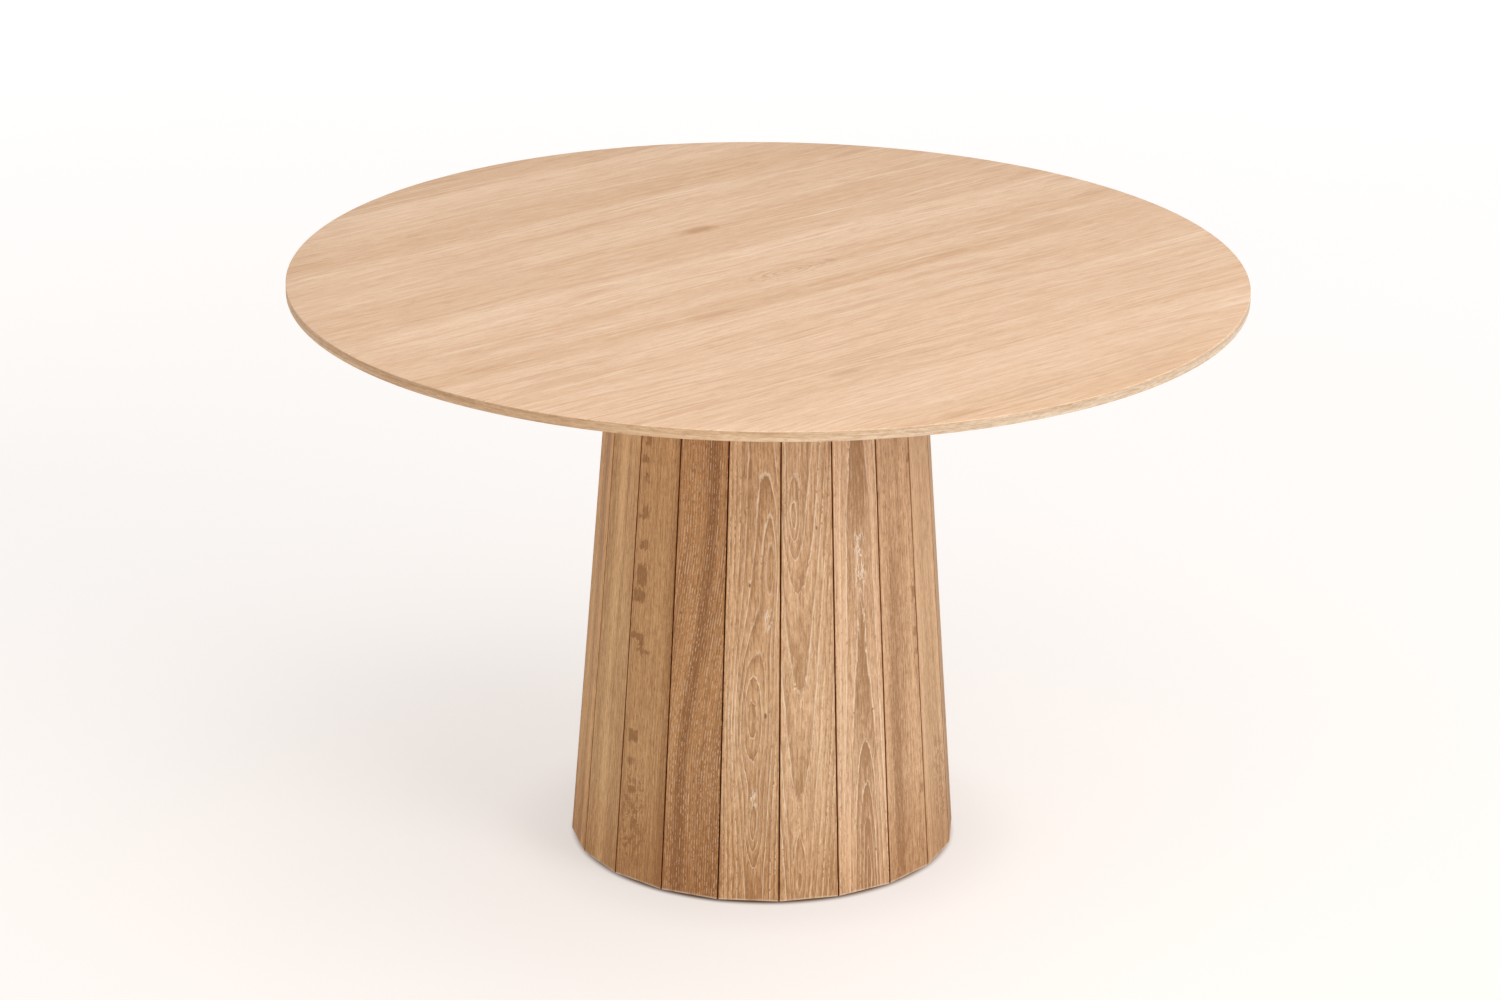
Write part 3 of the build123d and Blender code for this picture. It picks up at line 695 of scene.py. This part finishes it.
def top_material():
    """Matt pale oak veneer laid in leaves, each with its own tone, straight-grained from rim to rim."""
    g = material("oak_face_veneer", 0.3)
    along, across, _ = g.split(g.local((0, 0, GRAIN_TURN)))
    span = across / LEAVES_ACROSS + 0.5
    leaf = g.ramp(span, LEAF_SEEDS, "CONSTANT")
    tone = g.ramp(span, LEAF_TONES)
    wander = g.noise((across * 9.0, leaf * 40.0, along * 2.2))
    bent = (g.noise((across * 4.0, leaf * 23.0, along * 2.6)) - 0.5) * 0.045 + across
    board = g.join(0.0, bent * 0.5, leaf * 7.0 + along * 0.3)
    grown = use(g, RINGS, At=board, Seed=leaf * 9.0, Pith_Across=0.9, Pith_Under=0.1, Drift=0.012, Ring=0.004, Sway=2.0)
    eye = use(g, EYE, At=(0.0, across, along), Across=-0.006, Along=0.025, Half_Width=0.014, Half_Length=0.048,
              Count=-4.0)
    # Inside the eye the leaf's own rings are flattened out, so that the eye's close on themselves.
    flat = eye["Presence"] * (across + 0.006)
    rings = grown["Rings"] + eye["Rings"] + flat * 220.0
    slope = g.most(grown["Slope"] * (1.0 - eye["Presence"]), eye["Slope"])
    wood = use(g, OAK, At=board, Rings=rings, Slope=slope, Seed=leaf * 5.0, Pale=colour(243, 209, 179),
               Deep=colour(225, 185, 149), Lime=0.6, Bands=0.45, Figure=eye["Presence"] * 0.5 + 0.35,
               Pores=0.35, Bold=eye["Presence"])
    speckle = g.noise((across * 520.0, leaf, along * 330.0))
    level = (tone - 0.5) * 1.12 + (wander - 0.5) * 0.3 + (speckle - 0.5) * 0.65 + 0.5
    level = g.blend(level, (0.905, 0.855, 0.785, 1), (1.095, 1.145, 1.215, 1))
    shade = g.blend(1.0, wood["Color"], level, "MULTIPLY")
    # Long thin lines, dark and pale, come and go along each leaf, and gather beyond the eye.
    lines = g.noise((bent * 230.0, leaf * 31.0, along * 3.4), detail=3.0, rough=0.6)
    patch = g.noise((bent * 15.0, leaf * 57.0, along * 3.2))
    beyond = g.near(across, -0.01, 0.02, 0.4) * g.near(along, 0.17, 0.17, 0.5)
    dark = g.step(lines, 0.56, 0.68) * g.most(g.step(patch, 0.42, 0.62, 0.25, 0.8), beyond)
    light = g.step(lines, 0.44, 0.32) * g.step(patch, 0.58, 0.4, 0.3, 0.9)
    shade = g.blend(dark * 0.62, shade, colour(206, 162, 125))
    shade = g.blend(light * 0.66, shade, colour(249, 224, 199))
    # Soft brown smudges a hand long.
    smudge = g.noise((bent * 48.0, leaf * 13.0, along * 6.0), detail=3.0, rough=0.6)
    shade = g.blend(g.step(smudge, 0.52, 0.74, 0.0, 0.38), shade, colour(212, 168, 134))
    # The eye's rings are drawn in brown.
    phase = g.math("FRACT", eye["Rings"])
    drawn = g.fade(g.least(phase, 1.0 - phase), 0.05, 0.25, 0.55)
    shade = g.blend(drawn * eye["Presence"], shade, colour(203, 158, 120))
    # A brown fleck in one leaf, and faint ones beside some of the joints.
    torn = g.noise((along * 0.35, across, 0.0), 190.0, 3.0)
    for middle, side, long, wide, strength in TOP_FLECKS:
        far = g.length((along - middle) / long, (across - side) / wide)
        shade = g.blend(g.fade(torn * 0.75 + far, 0.6, 1.45, strength), shade, colour(196, 148, 108))
    return finish_oak(g, shade, wood, 0.48, 0.00012)


def lipping_material(number, angle):
    """Solid oak, its grain running along the rim."""
    g = material(f"oak_lipping_{number}", 0.3)
    x, y, z = g.split(g.local((0, 0, angle)))
    along = g.math("ARCTAN2", y, x) * TOP_RADIUS
    outward = g.length(x, y) - TOP_RADIUS
    up = z - RIM_Z
    draw = random.Random(LIPPING_SEED + number)
    between = draw.uniform
    # The saw left the grain running slowly out of the board.
    at = g.join(outward, along * (draw.choice((-1, 1)) * between(0.008, 0.02)) + up, along)
    grown = use(g, RINGS, At=at, Seed=number * 2.1, Pith_Across=between(-0.05, 0.05),
                Pith_Under=between(0.03, 0.06), Drift=0.01, Climb=between(-0.01, 0.01), Ring=0.0034, Sway=1.5)
    paler = g.step(up, 0.0034, 0.0052, -0.18, 0.09)
    wood = use(g, OAK, At=at, Seed=number * 4.3, Pale=colour(222, 189, 153), Deep=colour(183, 143, 104), Lime=0.4,
               Bands=0.9, Figure=0.5, Pores=0.5, Flecks=paler, **grown)
    # Painted light and sheen: the rim is paler and more grey round the right-hand side, where the key light falls on
    # it.
    bearing = along / TOP_RADIUS + ((angle + pi) % TAU - pi)
    key_side_light = g.step(bearing, -1.9, -1.05) * g.fade(bearing, 0.1, 0.6)
    return finish_oak(g, g.tint(key_side_light, wood["Color"], 1.0, 1.17, 1.42), wood, 0.48, 0.00015)


def underside_material():
    g = material("oak_balancing_veneer", 0.28)
    along, across, _ = g.split(g.local((0, 0, radians(90))))
    leaf = g.math("FLOOR", across / 0.17)
    board = g.join(0.0, across, leaf * 3.0 + along)
    grown = use(g, RINGS, At=board, Seed=leaf, Pith_Across=0.05, Pith_Under=0.09, Drift=0.01, Climb=0.03, Ring=0.006,
                Sway=2.5)
    wood = use(g, OAK, At=board, Seed=leaf * 3.0, Pale=colour(212, 178, 142), Deep=colour(188, 148, 110), Lime=0.15,
               Bands=0.9, Figure=0.7, Pores=0.8, **grown)
    return finish_oak(g, wood["Color"], wood, 0.55, 0.00015)


# ---------------- other materials
PLY_LAYER = 0.0018


def ply_material(low):
    """Birch plywood: a fine-figured face veneer, and cross-banded layers on every cut edge."""
    g = material("birch_ply", 0.25)
    x, y, z = g.split(g.local())
    layer = (z - low) / PLY_LAYER + 0.02
    parity = g.math("MODULO", g.math("FLOOR", layer), 2.0)
    glue = abs(g.math("FRACT", layer) - 0.5)
    lengthwise = g.noise((x * 9.0, y * 240.0, z * 900.0), detail=4.0)
    end = g.noise((x * 900.0, y * 900.0, z * 900.0))
    figure = g.noise((x * 3.0, y * 26.0, 0.0), detail=3.0, warp=1.5)
    pale = g.blend(lengthwise * 0.6 + figure * 0.5, colour(226, 200, 160), colour(196, 160, 116))
    dark = g.blend(end, colour(190, 152, 108), colour(150, 112, 74))
    shade = g.blend(parity, pale, dark)
    shade = g.blend(g.step(glue, 0.44, 0.49, 0.0, 0.6), shade, colour(96, 66, 42))
    return surface(g, shade, end * 0.15 + lengthwise * 0.2 + figure * 0.5, lengthwise + end, 0.00015)


def fibreboard_material():
    g = material("fibreboard", 0.2)
    at = g.local()
    fuzz = g.noise(at, 1800.0, 4.0, 0.7)
    patch = g.noise(at, 40.0, 3.0)
    base = g.blend(fuzz * 0.7 + patch * 0.3, colour(172, 138, 100), colour(126, 96, 66))
    return surface(g, base, fuzz * 0.2 + 0.75, fuzz, 0.0001)


def tongue_material():
    """Thin plywood tongues, dyed dark so that the joints read as lines."""
    g = material("dark_tongue", 0.2)
    x, y, z = g.split(g.local())
    fibres = g.noise((x * 700.0, y * 700.0, z * 30.0), detail=3.0)
    return surface(g, g.blend(fibres, colour(108, 48, 8), colour(68, 27, 3)), fibres * 0.2 + 0.7, fibres, 0.0001)


def zinc_material():
    """Bright zinc plate: faint blue and straw patches, fine turning marks and handling scuffs."""
    g = material("zinc_steel", Metallic=1.0)
    at = g.local()
    x, y, z = g.split(at)
    patch = g.noise(at, 90.0, 3.0)
    brushed = g.noise((x * 350.0, y * 350.0, z * 5000.0), detail=3.0)
    scuff = g.step(g.noise(at, 700.0, 5.0, 0.7), 0.55, 0.75)
    shade = g.blend(patch, colour(196, 199, 204), colour(206, 200, 184))
    rough = brushed * 0.22 + scuff * 0.15 + patch * 0.35
    return surface(g, g.blend(scuff * 0.3, shade, colour(150, 150, 150)), rough, brushed, 0.00003)


def powder_coat_material():
    g = material("black_powder_coat", 0.5)
    at = g.local()
    peel = g.noise(at, 420.0, 2.0)
    grit = g.noise(at, 2600.0, 2.0)
    dust = g.step(g.noise(at, 14.0, 4.0), 0.45, 0.75)
    base = g.blend(dust * 0.25, colour(36, 37, 39), colour(92, 86, 78))
    return surface(g, base, grit * 0.2 + dust * 0.2 + peel * 0.5, peel * 0.8 + grit * 0.2, 0.00025)


def nylon_material():
    g = material("black_nylon", 0.5)
    at = g.local()
    spark = g.noise(at, 3200.0, 2.0)
    flow = g.noise(at, 120.0, 3.0)
    return surface(g, g.blend(flow, colour(24, 24, 25), colour(44, 44, 45)), spark * 0.2 + flow * 0.65, spark, 0.00008)


def felt_material():
    g = material("grey_felt", 0.1, Sheen_Weight=0.35, Sheen_Roughness=0.6)
    at = g.local()
    fibre = g.noise(at, 900.0, 5.0, 0.75, 1.2)
    tuft = g.noise(at, 180.0, 3.0)
    base = g.blend(fibre * 0.7 + tuft * 0.3, colour(150, 145, 139), colour(78, 75, 72))
    return surface(g, base, fibre * 0.1 + 0.88, fibre, 0.0004)


def dress(node, mat):
    """Gives a CAD node that stays in view its material."""
    for slot in frame["nodes"][node].material_slots:
        slot.material = mat


# ---------------- top
def build_top():
    radii = [TOP_RADIUS * k / 10 for k in range(10)]
    edge = [radians(a) for a in (18, 36, 54, 72, 90)]
    profile = [(r, VENEER_Z) for r in radii] + [(TOP_RADIUS, VENEER_Z), (TOP_RADIUS, TOP_Z - TOP_EASE)]
    profile += [(TOP_RADIUS + TOP_EASE * (cos(t) - 1), TOP_Z + TOP_EASE * (sin(t) - 1)) for t in edge]
    profile += [(r, TOP_Z) for r in reversed(radii)]
    piece("face_veneer", to_mesh(turned(profile, 512)), "oak_face_veneer", top_material(), "top_face_veneer")

    # Lipping: bevelled underneath, with eased arrises, in arcs with a fine joint between them.
    corners = [(CORE_RADIUS, LIPPING_Z), (BEVEL_RADIUS, LIPPING_Z), (TOP_RADIUS, RIM_Z - 0.0004)]
    corners += [(TOP_RADIUS, VENEER_Z), (CORE_RADIUS, VENEER_Z)]
    section = rounded(corners, (0, 0.004, 0.0012, 0, 0), 5)
    arc = TAU / LIPPINGS
    for number in range(1, LIPPINGS + 1):
        start = (number - 1) * arc
        mesh = to_mesh(turned(section, 64, start + LIPPING_JOINT, arc - 2 * LIPPING_JOINT))
        mat = lipping_material(number, start + arc / 2)
        piece(f"lipping_{number}", mesh, "oak_lipping", mat, f"rim_lipping_{number}")

    loops = [circle(CORE_RADIUS - 0.0001, 384)] + holes(0.00605, 32, TOP_BOLTS)
    sheet = plate(loops, LIPPING_Z, LIPPING_Z + 0.001, 0.0001)
    piece("balancing_veneer", sheet, "oak_balancing_veneer", underside_material(), "top_balancing_veneer")
    dress("top_core", fibreboard_material())


# ---------------- staves
def stave_section(z, housed, cut_back, arris, cup):
    """A stave's outline at one height as (outward, across) points, counter-clockwise from its face's left edge."""
    corner = CORNER_LOW + (z - COLUMN_LOW_Z) / COLUMN_HEIGHT * (CORNER_HIGH - CORNER_LOW)
    face_at = corner * cos(HALF)
    outer = face_at - cut_back
    inner = face_at - WALL
    seam = corner - WALL / 2 / cos(HALF)

    def side(outward):
        return (outward, outward * tan(HALF) - STAVE_GAP / 2 / cos(HALF))

    def in_groove(offset, depth):
        along, deep = seam + offset, STAVE_GAP / 2 + depth
        return (along * cos(HALF) + deep * sin(HALF), along * sin(HALF) - deep * cos(HALF))

    half = side(outer - arris)[1] - arris
    face = [(outer - cup * (1 - t * t), half * t) for t in (k / 5 - 1 for k in range(11))]
    bends = [radians(a) for a in (22.5, 45, 67.5, 90)]
    right = [(outer + arris * (cos(t) - 1), half + arris * sin(t)) for t in bends]
    for offset, depth in ((1, 0), (1, GROOVE_DEPTH), (-1, GROOVE_DEPTH), (-1, 0)):
        right.append(in_groove(offset * GROOVE_HALF_WIDTH, depth))
    right += [side(inner + HOUSING), side(inner + HOUSING if housed else inner)]
    return face + right + [(x, -y) for x, y in reversed(right)]


def stave_rows():
    """Heights of a stave's outlines as (height, housed for a former, cut back at the eased foot)."""
    eased = [(0.0, 0.0015), (0.0002, 0.0009), (0.0006, 0.0004), (0.0012, 0.0001), (0.002, 0)]
    rows = [(COLUMN_LOW_Z + rise, False, cut) for rise, cut in eased]
    rows += [(COLUMN_LOW_Z + COLUMN_HEIGHT * k / 36, False, 0) for k in range(1, 37)]
    formers = [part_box(n) for n in ("bottom_former", "middle_former", "top_former")]
    for low, high in formers:
        rows = [row for row in rows if not low.z - 0.001 < row[0] < high.z + 0.001 or row[0] >= COLUMN_HIGH_Z]
        rows += [(low.z, False, 0), (low.z, True, 0), (high.z, True, 0)]
        if high.z < COLUMN_HIGH_Z:
            rows.append((high.z, False, 0))
    rows = [row for row in rows if row[0] < COLUMN_HIGH_Z or row[1]]
    undersides = {low.z for low, _ in formers}
    return sorted(rows, key=lambda row: (row[0], row[1] if row[0] in undersides else not row[1]))


def build_staves():
    rows = stave_rows()
    for number in range(1, STAVES + 1):
        angle = (2 * number - 1) * HALF
        c, s = cos(angle), sin(angle)
        cup = random.Random(number).uniform(0.0, 0.00012)
        rings = []
        for z, housed, cut in rows:
            wear = noise.noise((number * 7.3, z * 9.0, 0.0))
            section = stave_section(z, housed, cut, 0.0007 + 0.0002 * wear, cup)
            rings.append([(x * c - y * s, x * s + y * c, z) for x, y in section])
        mesh = to_mesh(stacked(rings), 2e-6)
        mat = stave_material(number, angle)
        piece(f"oak_stave_{number:02d}", mesh, stave_slot(number), mat, f"stave_{number:02d}")
    dress("stave_tongues", tongue_material())


# ---------------- inside the column
def build_formers():
    plans = {
        "top_former": [circle(0.085, 128)] + holes(0.0045, 24, TOP_BOLTS),
        "middle_former": [circle(0.15, 160)],
        "bottom_former": [circle(HAND_HOLE, 160)] + holes(0.00655, 32, FEET) + holes(0.00505, 32, BALLAST_BOLTS),
    }
    for node, openings in plans.items():
        low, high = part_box(node)
        corner = (high.x - low.x) / 2
        mesh = plate([circle(corner, STAVES), *openings], low.z, high.z, 0.0004)
        for vertex in mesh.vertices:
            if hypot(vertex.co.x, vertex.co.y) > corner * 0.95:
                shrink = 1 - (vertex.co.z - low.z) * tan(LEAN) / corner
                vertex.co.x *= shrink
                vertex.co.y *= shrink
        piece(f"{node}_ply", mesh, "birch_ply", ply_material(low.z), node)

    low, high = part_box("ballast_ring")
    loops = [circle(high.x, 256), circle(HAND_HOLE, 192)] + holes(0.01, 40, FEET) + holes(0.0045, 24, BALLAST_BOLTS)
    ballast = plate(loops, low.z, high.z, 0.0008)
    piece("ballast_plate", ballast, "ballast_steel", powder_coat_material(), "ballast_ring")


# ---------------- fasteners
def hexagon(apothem, limit=9.0):
    """Distance to a hexagon's edge as a function of direction, no further than limit."""
    return lambda t: min(apothem / cos((t % (TAU / 6)) - TAU / 12), limit)


def ring_stack(rows, count):
    """A mesh through level rings given as (height, radius), where a radius may change with direction."""
    rings = []
    for z, radius in rows:
        turns = [TAU * i / count for i in range(count)]
        reach = [radius(t) if callable(radius) else radius for t in turns]
        rings.append([(r * cos(t), r * sin(t), z) for r, t in zip(reach, turns)])
    return to_mesh(stacked(rings))


def socket_bolt(seat, length, up):
    """Socket-head bolt with a knurled head. seat is where the head bears, up is +1 or -1 along the head's way."""
    head, key = 0.008, hexagon(0.003)

    def knurl(t):
        return 0.0065 - 0.00018 * (0.5 + 0.5 * cos(t * 36))

    rows = [
        (-length, 0.0034), (0.0008 - length, 0.004), (0, 0.004), (0, 0.0063), (0.0003, knurl), (head - 0.0011, knurl),
        (head - 0.001, 0.0062), (head - 0.0003, 0.006), (head, 0.0056), (head, lambda t: key(t) + 0.0003),
        (head - 0.0003, key), (head - 0.004, key),
    ]
    return ring_stack([(seat + up * rise, radius) for rise, radius in rows], 72)


def tee_nut(floor, flange, barrel, bore, length):
    """Tee nut: a flange under the board and a barrel up through it."""
    under, end = floor - 0.0015, floor + length
    corners = [(bore, under), (flange, under), (flange, floor), (barrel, floor), (barrel, end), (bore, end)]
    return to_mesh(turned(rounded(corners, (0.0005, 0.0006, 0.0002, 0, 0.0004, 0.0003), 3), 64))


def build_fasteners():
    zinc = zinc_material()
    low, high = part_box("top_bolt_washers")
    corners = [(0.0045, low.z), (0.012, low.z), (0.012, high.z), (0.0045, high.z)]
    washer = to_mesh(turned(rounded(corners, (0.0002, 0.0005, 0.0003, 0.0002), 3), 48))
    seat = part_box("ballast_ring")[1].z
    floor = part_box("bottom_former")[0].z
    for name, mesh, places, node in (
        ("top_bolt_set", socket_bolt(low.z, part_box("top_bolts")[1].z - low.z, -1), TOP_BOLTS, "top_bolts"),
        ("top_washer_set", washer, TOP_BOLTS, "top_bolt_washers"),
        ("ballast_bolt_set", socket_bolt(seat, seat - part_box("ballast_bolts")[0].z, 1), BALLAST_BOLTS, "ballast_bolts"),
        ("ballast_nut_set", tee_nut(floor, 0.011, 0.005, 0.00403, 0.012), BALLAST_BOLTS, "ballast_tee_nuts"),
        ("foot_nut_set", tee_nut(floor, 0.013, 0.0065, 0.00505, 0.0165), FEET, "foot_tee_nuts"),
    ):
        piece(name, repeated(mesh, places), "zinc_steel", zinc, node)
    dress("top_threaded_inserts", zinc)
    return zinc


# ---------------- levelling feet
def foot_screw_mesh():
    """Round head, neck, hexagonal collar and a threaded stem with a key socket, about the z axis."""
    low, high = (corner.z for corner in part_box("foot_1_screw"))
    pitch, crest, root = 0.0015, 0.005, 0.00412
    collar_low, collar_high = 0.0085, 0.0135
    eased, full, key = hexagon(0.0085, 0.0094), hexagon(0.0085), hexagon(0.0025)

    def thread(z):
        def radius(t):
            phase = ((z - pitch * t / TAU) / pitch) % 1.0
            tooth = min(1.0, max(0.0, (0.94 - abs(2 * phase - 1)) / 0.82))
            ease = min(1.0, max(0.0, (z - collar_high) / 0.001), max(0.0, (high - z) / 0.001))
            return root + (crest - root) * tooth * ease
        return radius

    rows = [
        (low, 0.0064), (low + 0.0004, 0.007), (low + 0.0018, 0.007), (low + 0.0022, 0.0066), (low + 0.0022, 0.0045),
        (collar_low, 0.0045), (collar_low, 0.0082), (collar_low + 0.0006, eased), (collar_low + 0.0012, full),
        (collar_high - 0.0012, full), (collar_high - 0.0006, eased), (collar_high, 0.0082), (collar_high, root),
    ]
    steps = int((high - collar_high) / (pitch / 5))
    for k in range(1, steps):
        z = collar_high + (high - collar_high) * k / steps
        rows.append((z, thread(z)))
    rows += [(high, root - 0.0003), (high, key), (high - 0.006, key)]
    return ring_stack(rows, 48)


def foot_pad_mesh():
    """Moulded pad: a recess for the sole below, and a cavity above that snaps over the screw's head."""
    corners = [
        (0.0, 0.002), (0.018, 0.002), (0.018, 0.001), (0.02, 0.001), (0.02, 0.0056), (0.0176, 0.008),
        (0.00458, 0.008), (0.00458, 0.0061), (0.0073, 0.0061), (0.0073, 0.0034), (0.0, 0.0034),
    ]
    radii = (0, 0.0002, 0.0003, 0.0004, 0.0012, 0.0016, 0.0003, 0.0002, 0.0002, 0.0002, 0)
    return to_mesh(turned(rounded(corners, radii, 4), 72))


def foot_sole_mesh(seed):
    """Felt disc with a softly uneven edge."""
    corners = [(0.0, 0.0), (0.0179, 0.0), (0.0179, 0.002), (0.0, 0.002)]
    bm = turned(rounded(corners, (0, 0.0006, 0.0002, 0), 4), 96)
    for vertex in bm.verts:
        if hypot(vertex.co.x, vertex.co.y) > 0.017:
            pull = 1 - 0.008 * (0.5 + 0.5 * noise.noise(vertex.co * 900 + Vector((seed, 0, 0))))
            vertex.co.x *= pull
            vertex.co.y *= pull
    return to_mesh(bm)


def build_feet(zinc):
    nylon, felt = nylon_material(), felt_material()
    screw, pad = foot_screw_mesh(), foot_pad_mesh()
    for number in range(1, 5):
        low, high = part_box(f"foot_{number}_pad")
        shift = Matrix.Translation(((low.x + high.x) / 2, (low.y + high.y) / 2, 0))
        for mesh, name, body, slot, mat in (
            (screw.copy(), "screw", f"screw_{number}", "zinc_steel", zinc),
            (pad.copy(), "pad", f"foot_{number}", "black_nylon", nylon),
            (foot_sole_mesh(number * 5.0), "sole", f"foot_{number}", "grey_felt", felt),
        ):
            mesh.transform(shift)
            piece(f"levelling_{name}_{number}", mesh, slot, mat, f"foot_{number}_{name}", body)


# ---------------- stage, light and camera
def build_stage():
    """A pale studio floor that stays bright in the shade, as a well lit white cove does."""
    bm = bmesh.new()
    bmesh.ops.create_grid(bm, x_segments=8, y_segments=8, size=30)
    mesh = bpy.data.meshes.new("floor")
    bm.to_mesh(mesh)
    bm.free()
    g = material("studio_floor", 0.1, Roughness=0.9)
    at = g.local()
    x, y, _ = g.split(at)
    far = g.length(x, y)
    edge = COLUMN_FOOT_RADIUS
    # Little of the cove's light reaches under the column, and what does is browned by the oak.
    brown = g.fade(far, edge - 0.004, edge + 0.006)
    under = g.step(far, edge - 0.009, edge + 0.006, 0.05, 0.9) * g.step(far, edge, edge + 0.12, 1.0, 1.11)
    # The middle is lit, so that a view from below shows what is there. It can't be seen past the column's edge.
    under = g.most(under, g.fade(far, edge - 0.09, edge - 0.05, 0.65))
    # Near the column the side away from the key light is a little darker.
    under = under * (g.fade(far, 0.35, 1.0) * g.step(x, -0.4, 0.5, -0.06, 0.05) + 1.0)
    far = g.step(g.noise(at, 0.5) * 0.8 + far, 0.8, 7.0)
    shade = g.blend(far, (0.4, 0.385, 0.37, 1), (0.4, 0.39, 0.38, 1))
    g.put(g.bsdf.inputs["Base Color"], g.blend(brown, shade, (0.45, 0.3, 0.19, 1)))
    warmth = g.blend(g.step(y, -1.8, 1.0), (0.98, 0.95, 0.938, 1), (1.0, 1.012, 1.035, 1))
    bright = g.blend(far, (0.655, 0.627, 0.605, 1), (0.85, 0.832, 0.832, 1))
    glow = g.add("ShaderNodeEmission", {"Color": g.blend(1.0, warmth, bright, "MULTIPLY"), "Strength": under})
    lit = g.add("ShaderNodeAddShader", {0: g.bsdf.outputs[0], 1: glow})
    # Seen from underneath the floor is clear, so that a view from below shows the feet.
    clear = g.add("ShaderNodeBsdfTransparent", {})
    behind = g.node("ShaderNodeNewGeometry").outputs["Backfacing"]
    shown = g.add("ShaderNodeMixShader", {0: behind, 1: lit, 2: clear})
    g.put(g.out.inputs[0], shown)
    mesh.materials.append(g.material)
    floor = bpy.data.objects.new("floor", mesh)
    scene.collection.objects.link(floor)


def area_light(name, place, aim, size, power, tint):
    data = bpy.data.lights.new(name, "AREA")
    data.shape = "DISK"
    data.size = size
    data.energy = power
    data.color = tint
    light = bpy.data.objects.new(name, data)
    scene.collection.objects.link(light)
    light.location = place
    light.rotation_euler = (Vector(aim) - Vector(place)).to_track_quat("-Z", "Y").to_euler()
    light.visible_camera = False


def build_light():
    world = bpy.data.worlds.new("studio")
    scene.world = world
    world.use_nodes = True
    background = world.node_tree.nodes["Background"]
    background.inputs["Color"].default_value = (1.0, 0.982, 0.955, 1)
    background.inputs["Strength"].default_value = 0.55
    # A tall softbox to the right of the camera and a wide one overhead.
    area_light("key", (4.0, -4.2, 3.1), (0, 0, 0.45), 3.4, 172, (0.99, 0.995, 1.0))
    area_light("overhead", (0.2, -1.3, 3.9), (0, -0.2, 0.4), 3.6, 44, (1.0, 0.99, 0.98))
    scene.view_settings.view_transform = "Standard"
    scene.view_settings.look = "None"


def build_camera():
    """Camera about 20 degrees above the table and 6.6 m away, with a long lens."""
    dip, roll, round_by = radians(19.85), radians(0.55), radians(-4.91)
    ahead = Vector((0, cos(dip), -sin(dip)))
    right = Vector((1, 0, 0))
    up = right.cross(ahead)
    rolled = (right * cos(roll) + up * sin(roll), up * cos(roll) - right * sin(roll), -ahead)
    place = Vector((-0.02, 0, 0.45)) - ahead * 6.5845
    data = bpy.data.cameras.new("camera")
    data.sensor_width = 36
    data.lens = 124.69
    data.clip_end = 200
    camera = bpy.data.objects.new("camera", data)
    facing = Matrix(rolled).transposed().to_4x4()
    camera.matrix_world = Matrix.Rotation(round_by, 4, "Z") @ Matrix.Translation(place) @ facing
    scene.collection.objects.link(camera)
    scene.camera = camera


build_top()
build_staves()
build_formers()
build_feet(build_fasteners())
build_stage()
build_light()
build_camera()
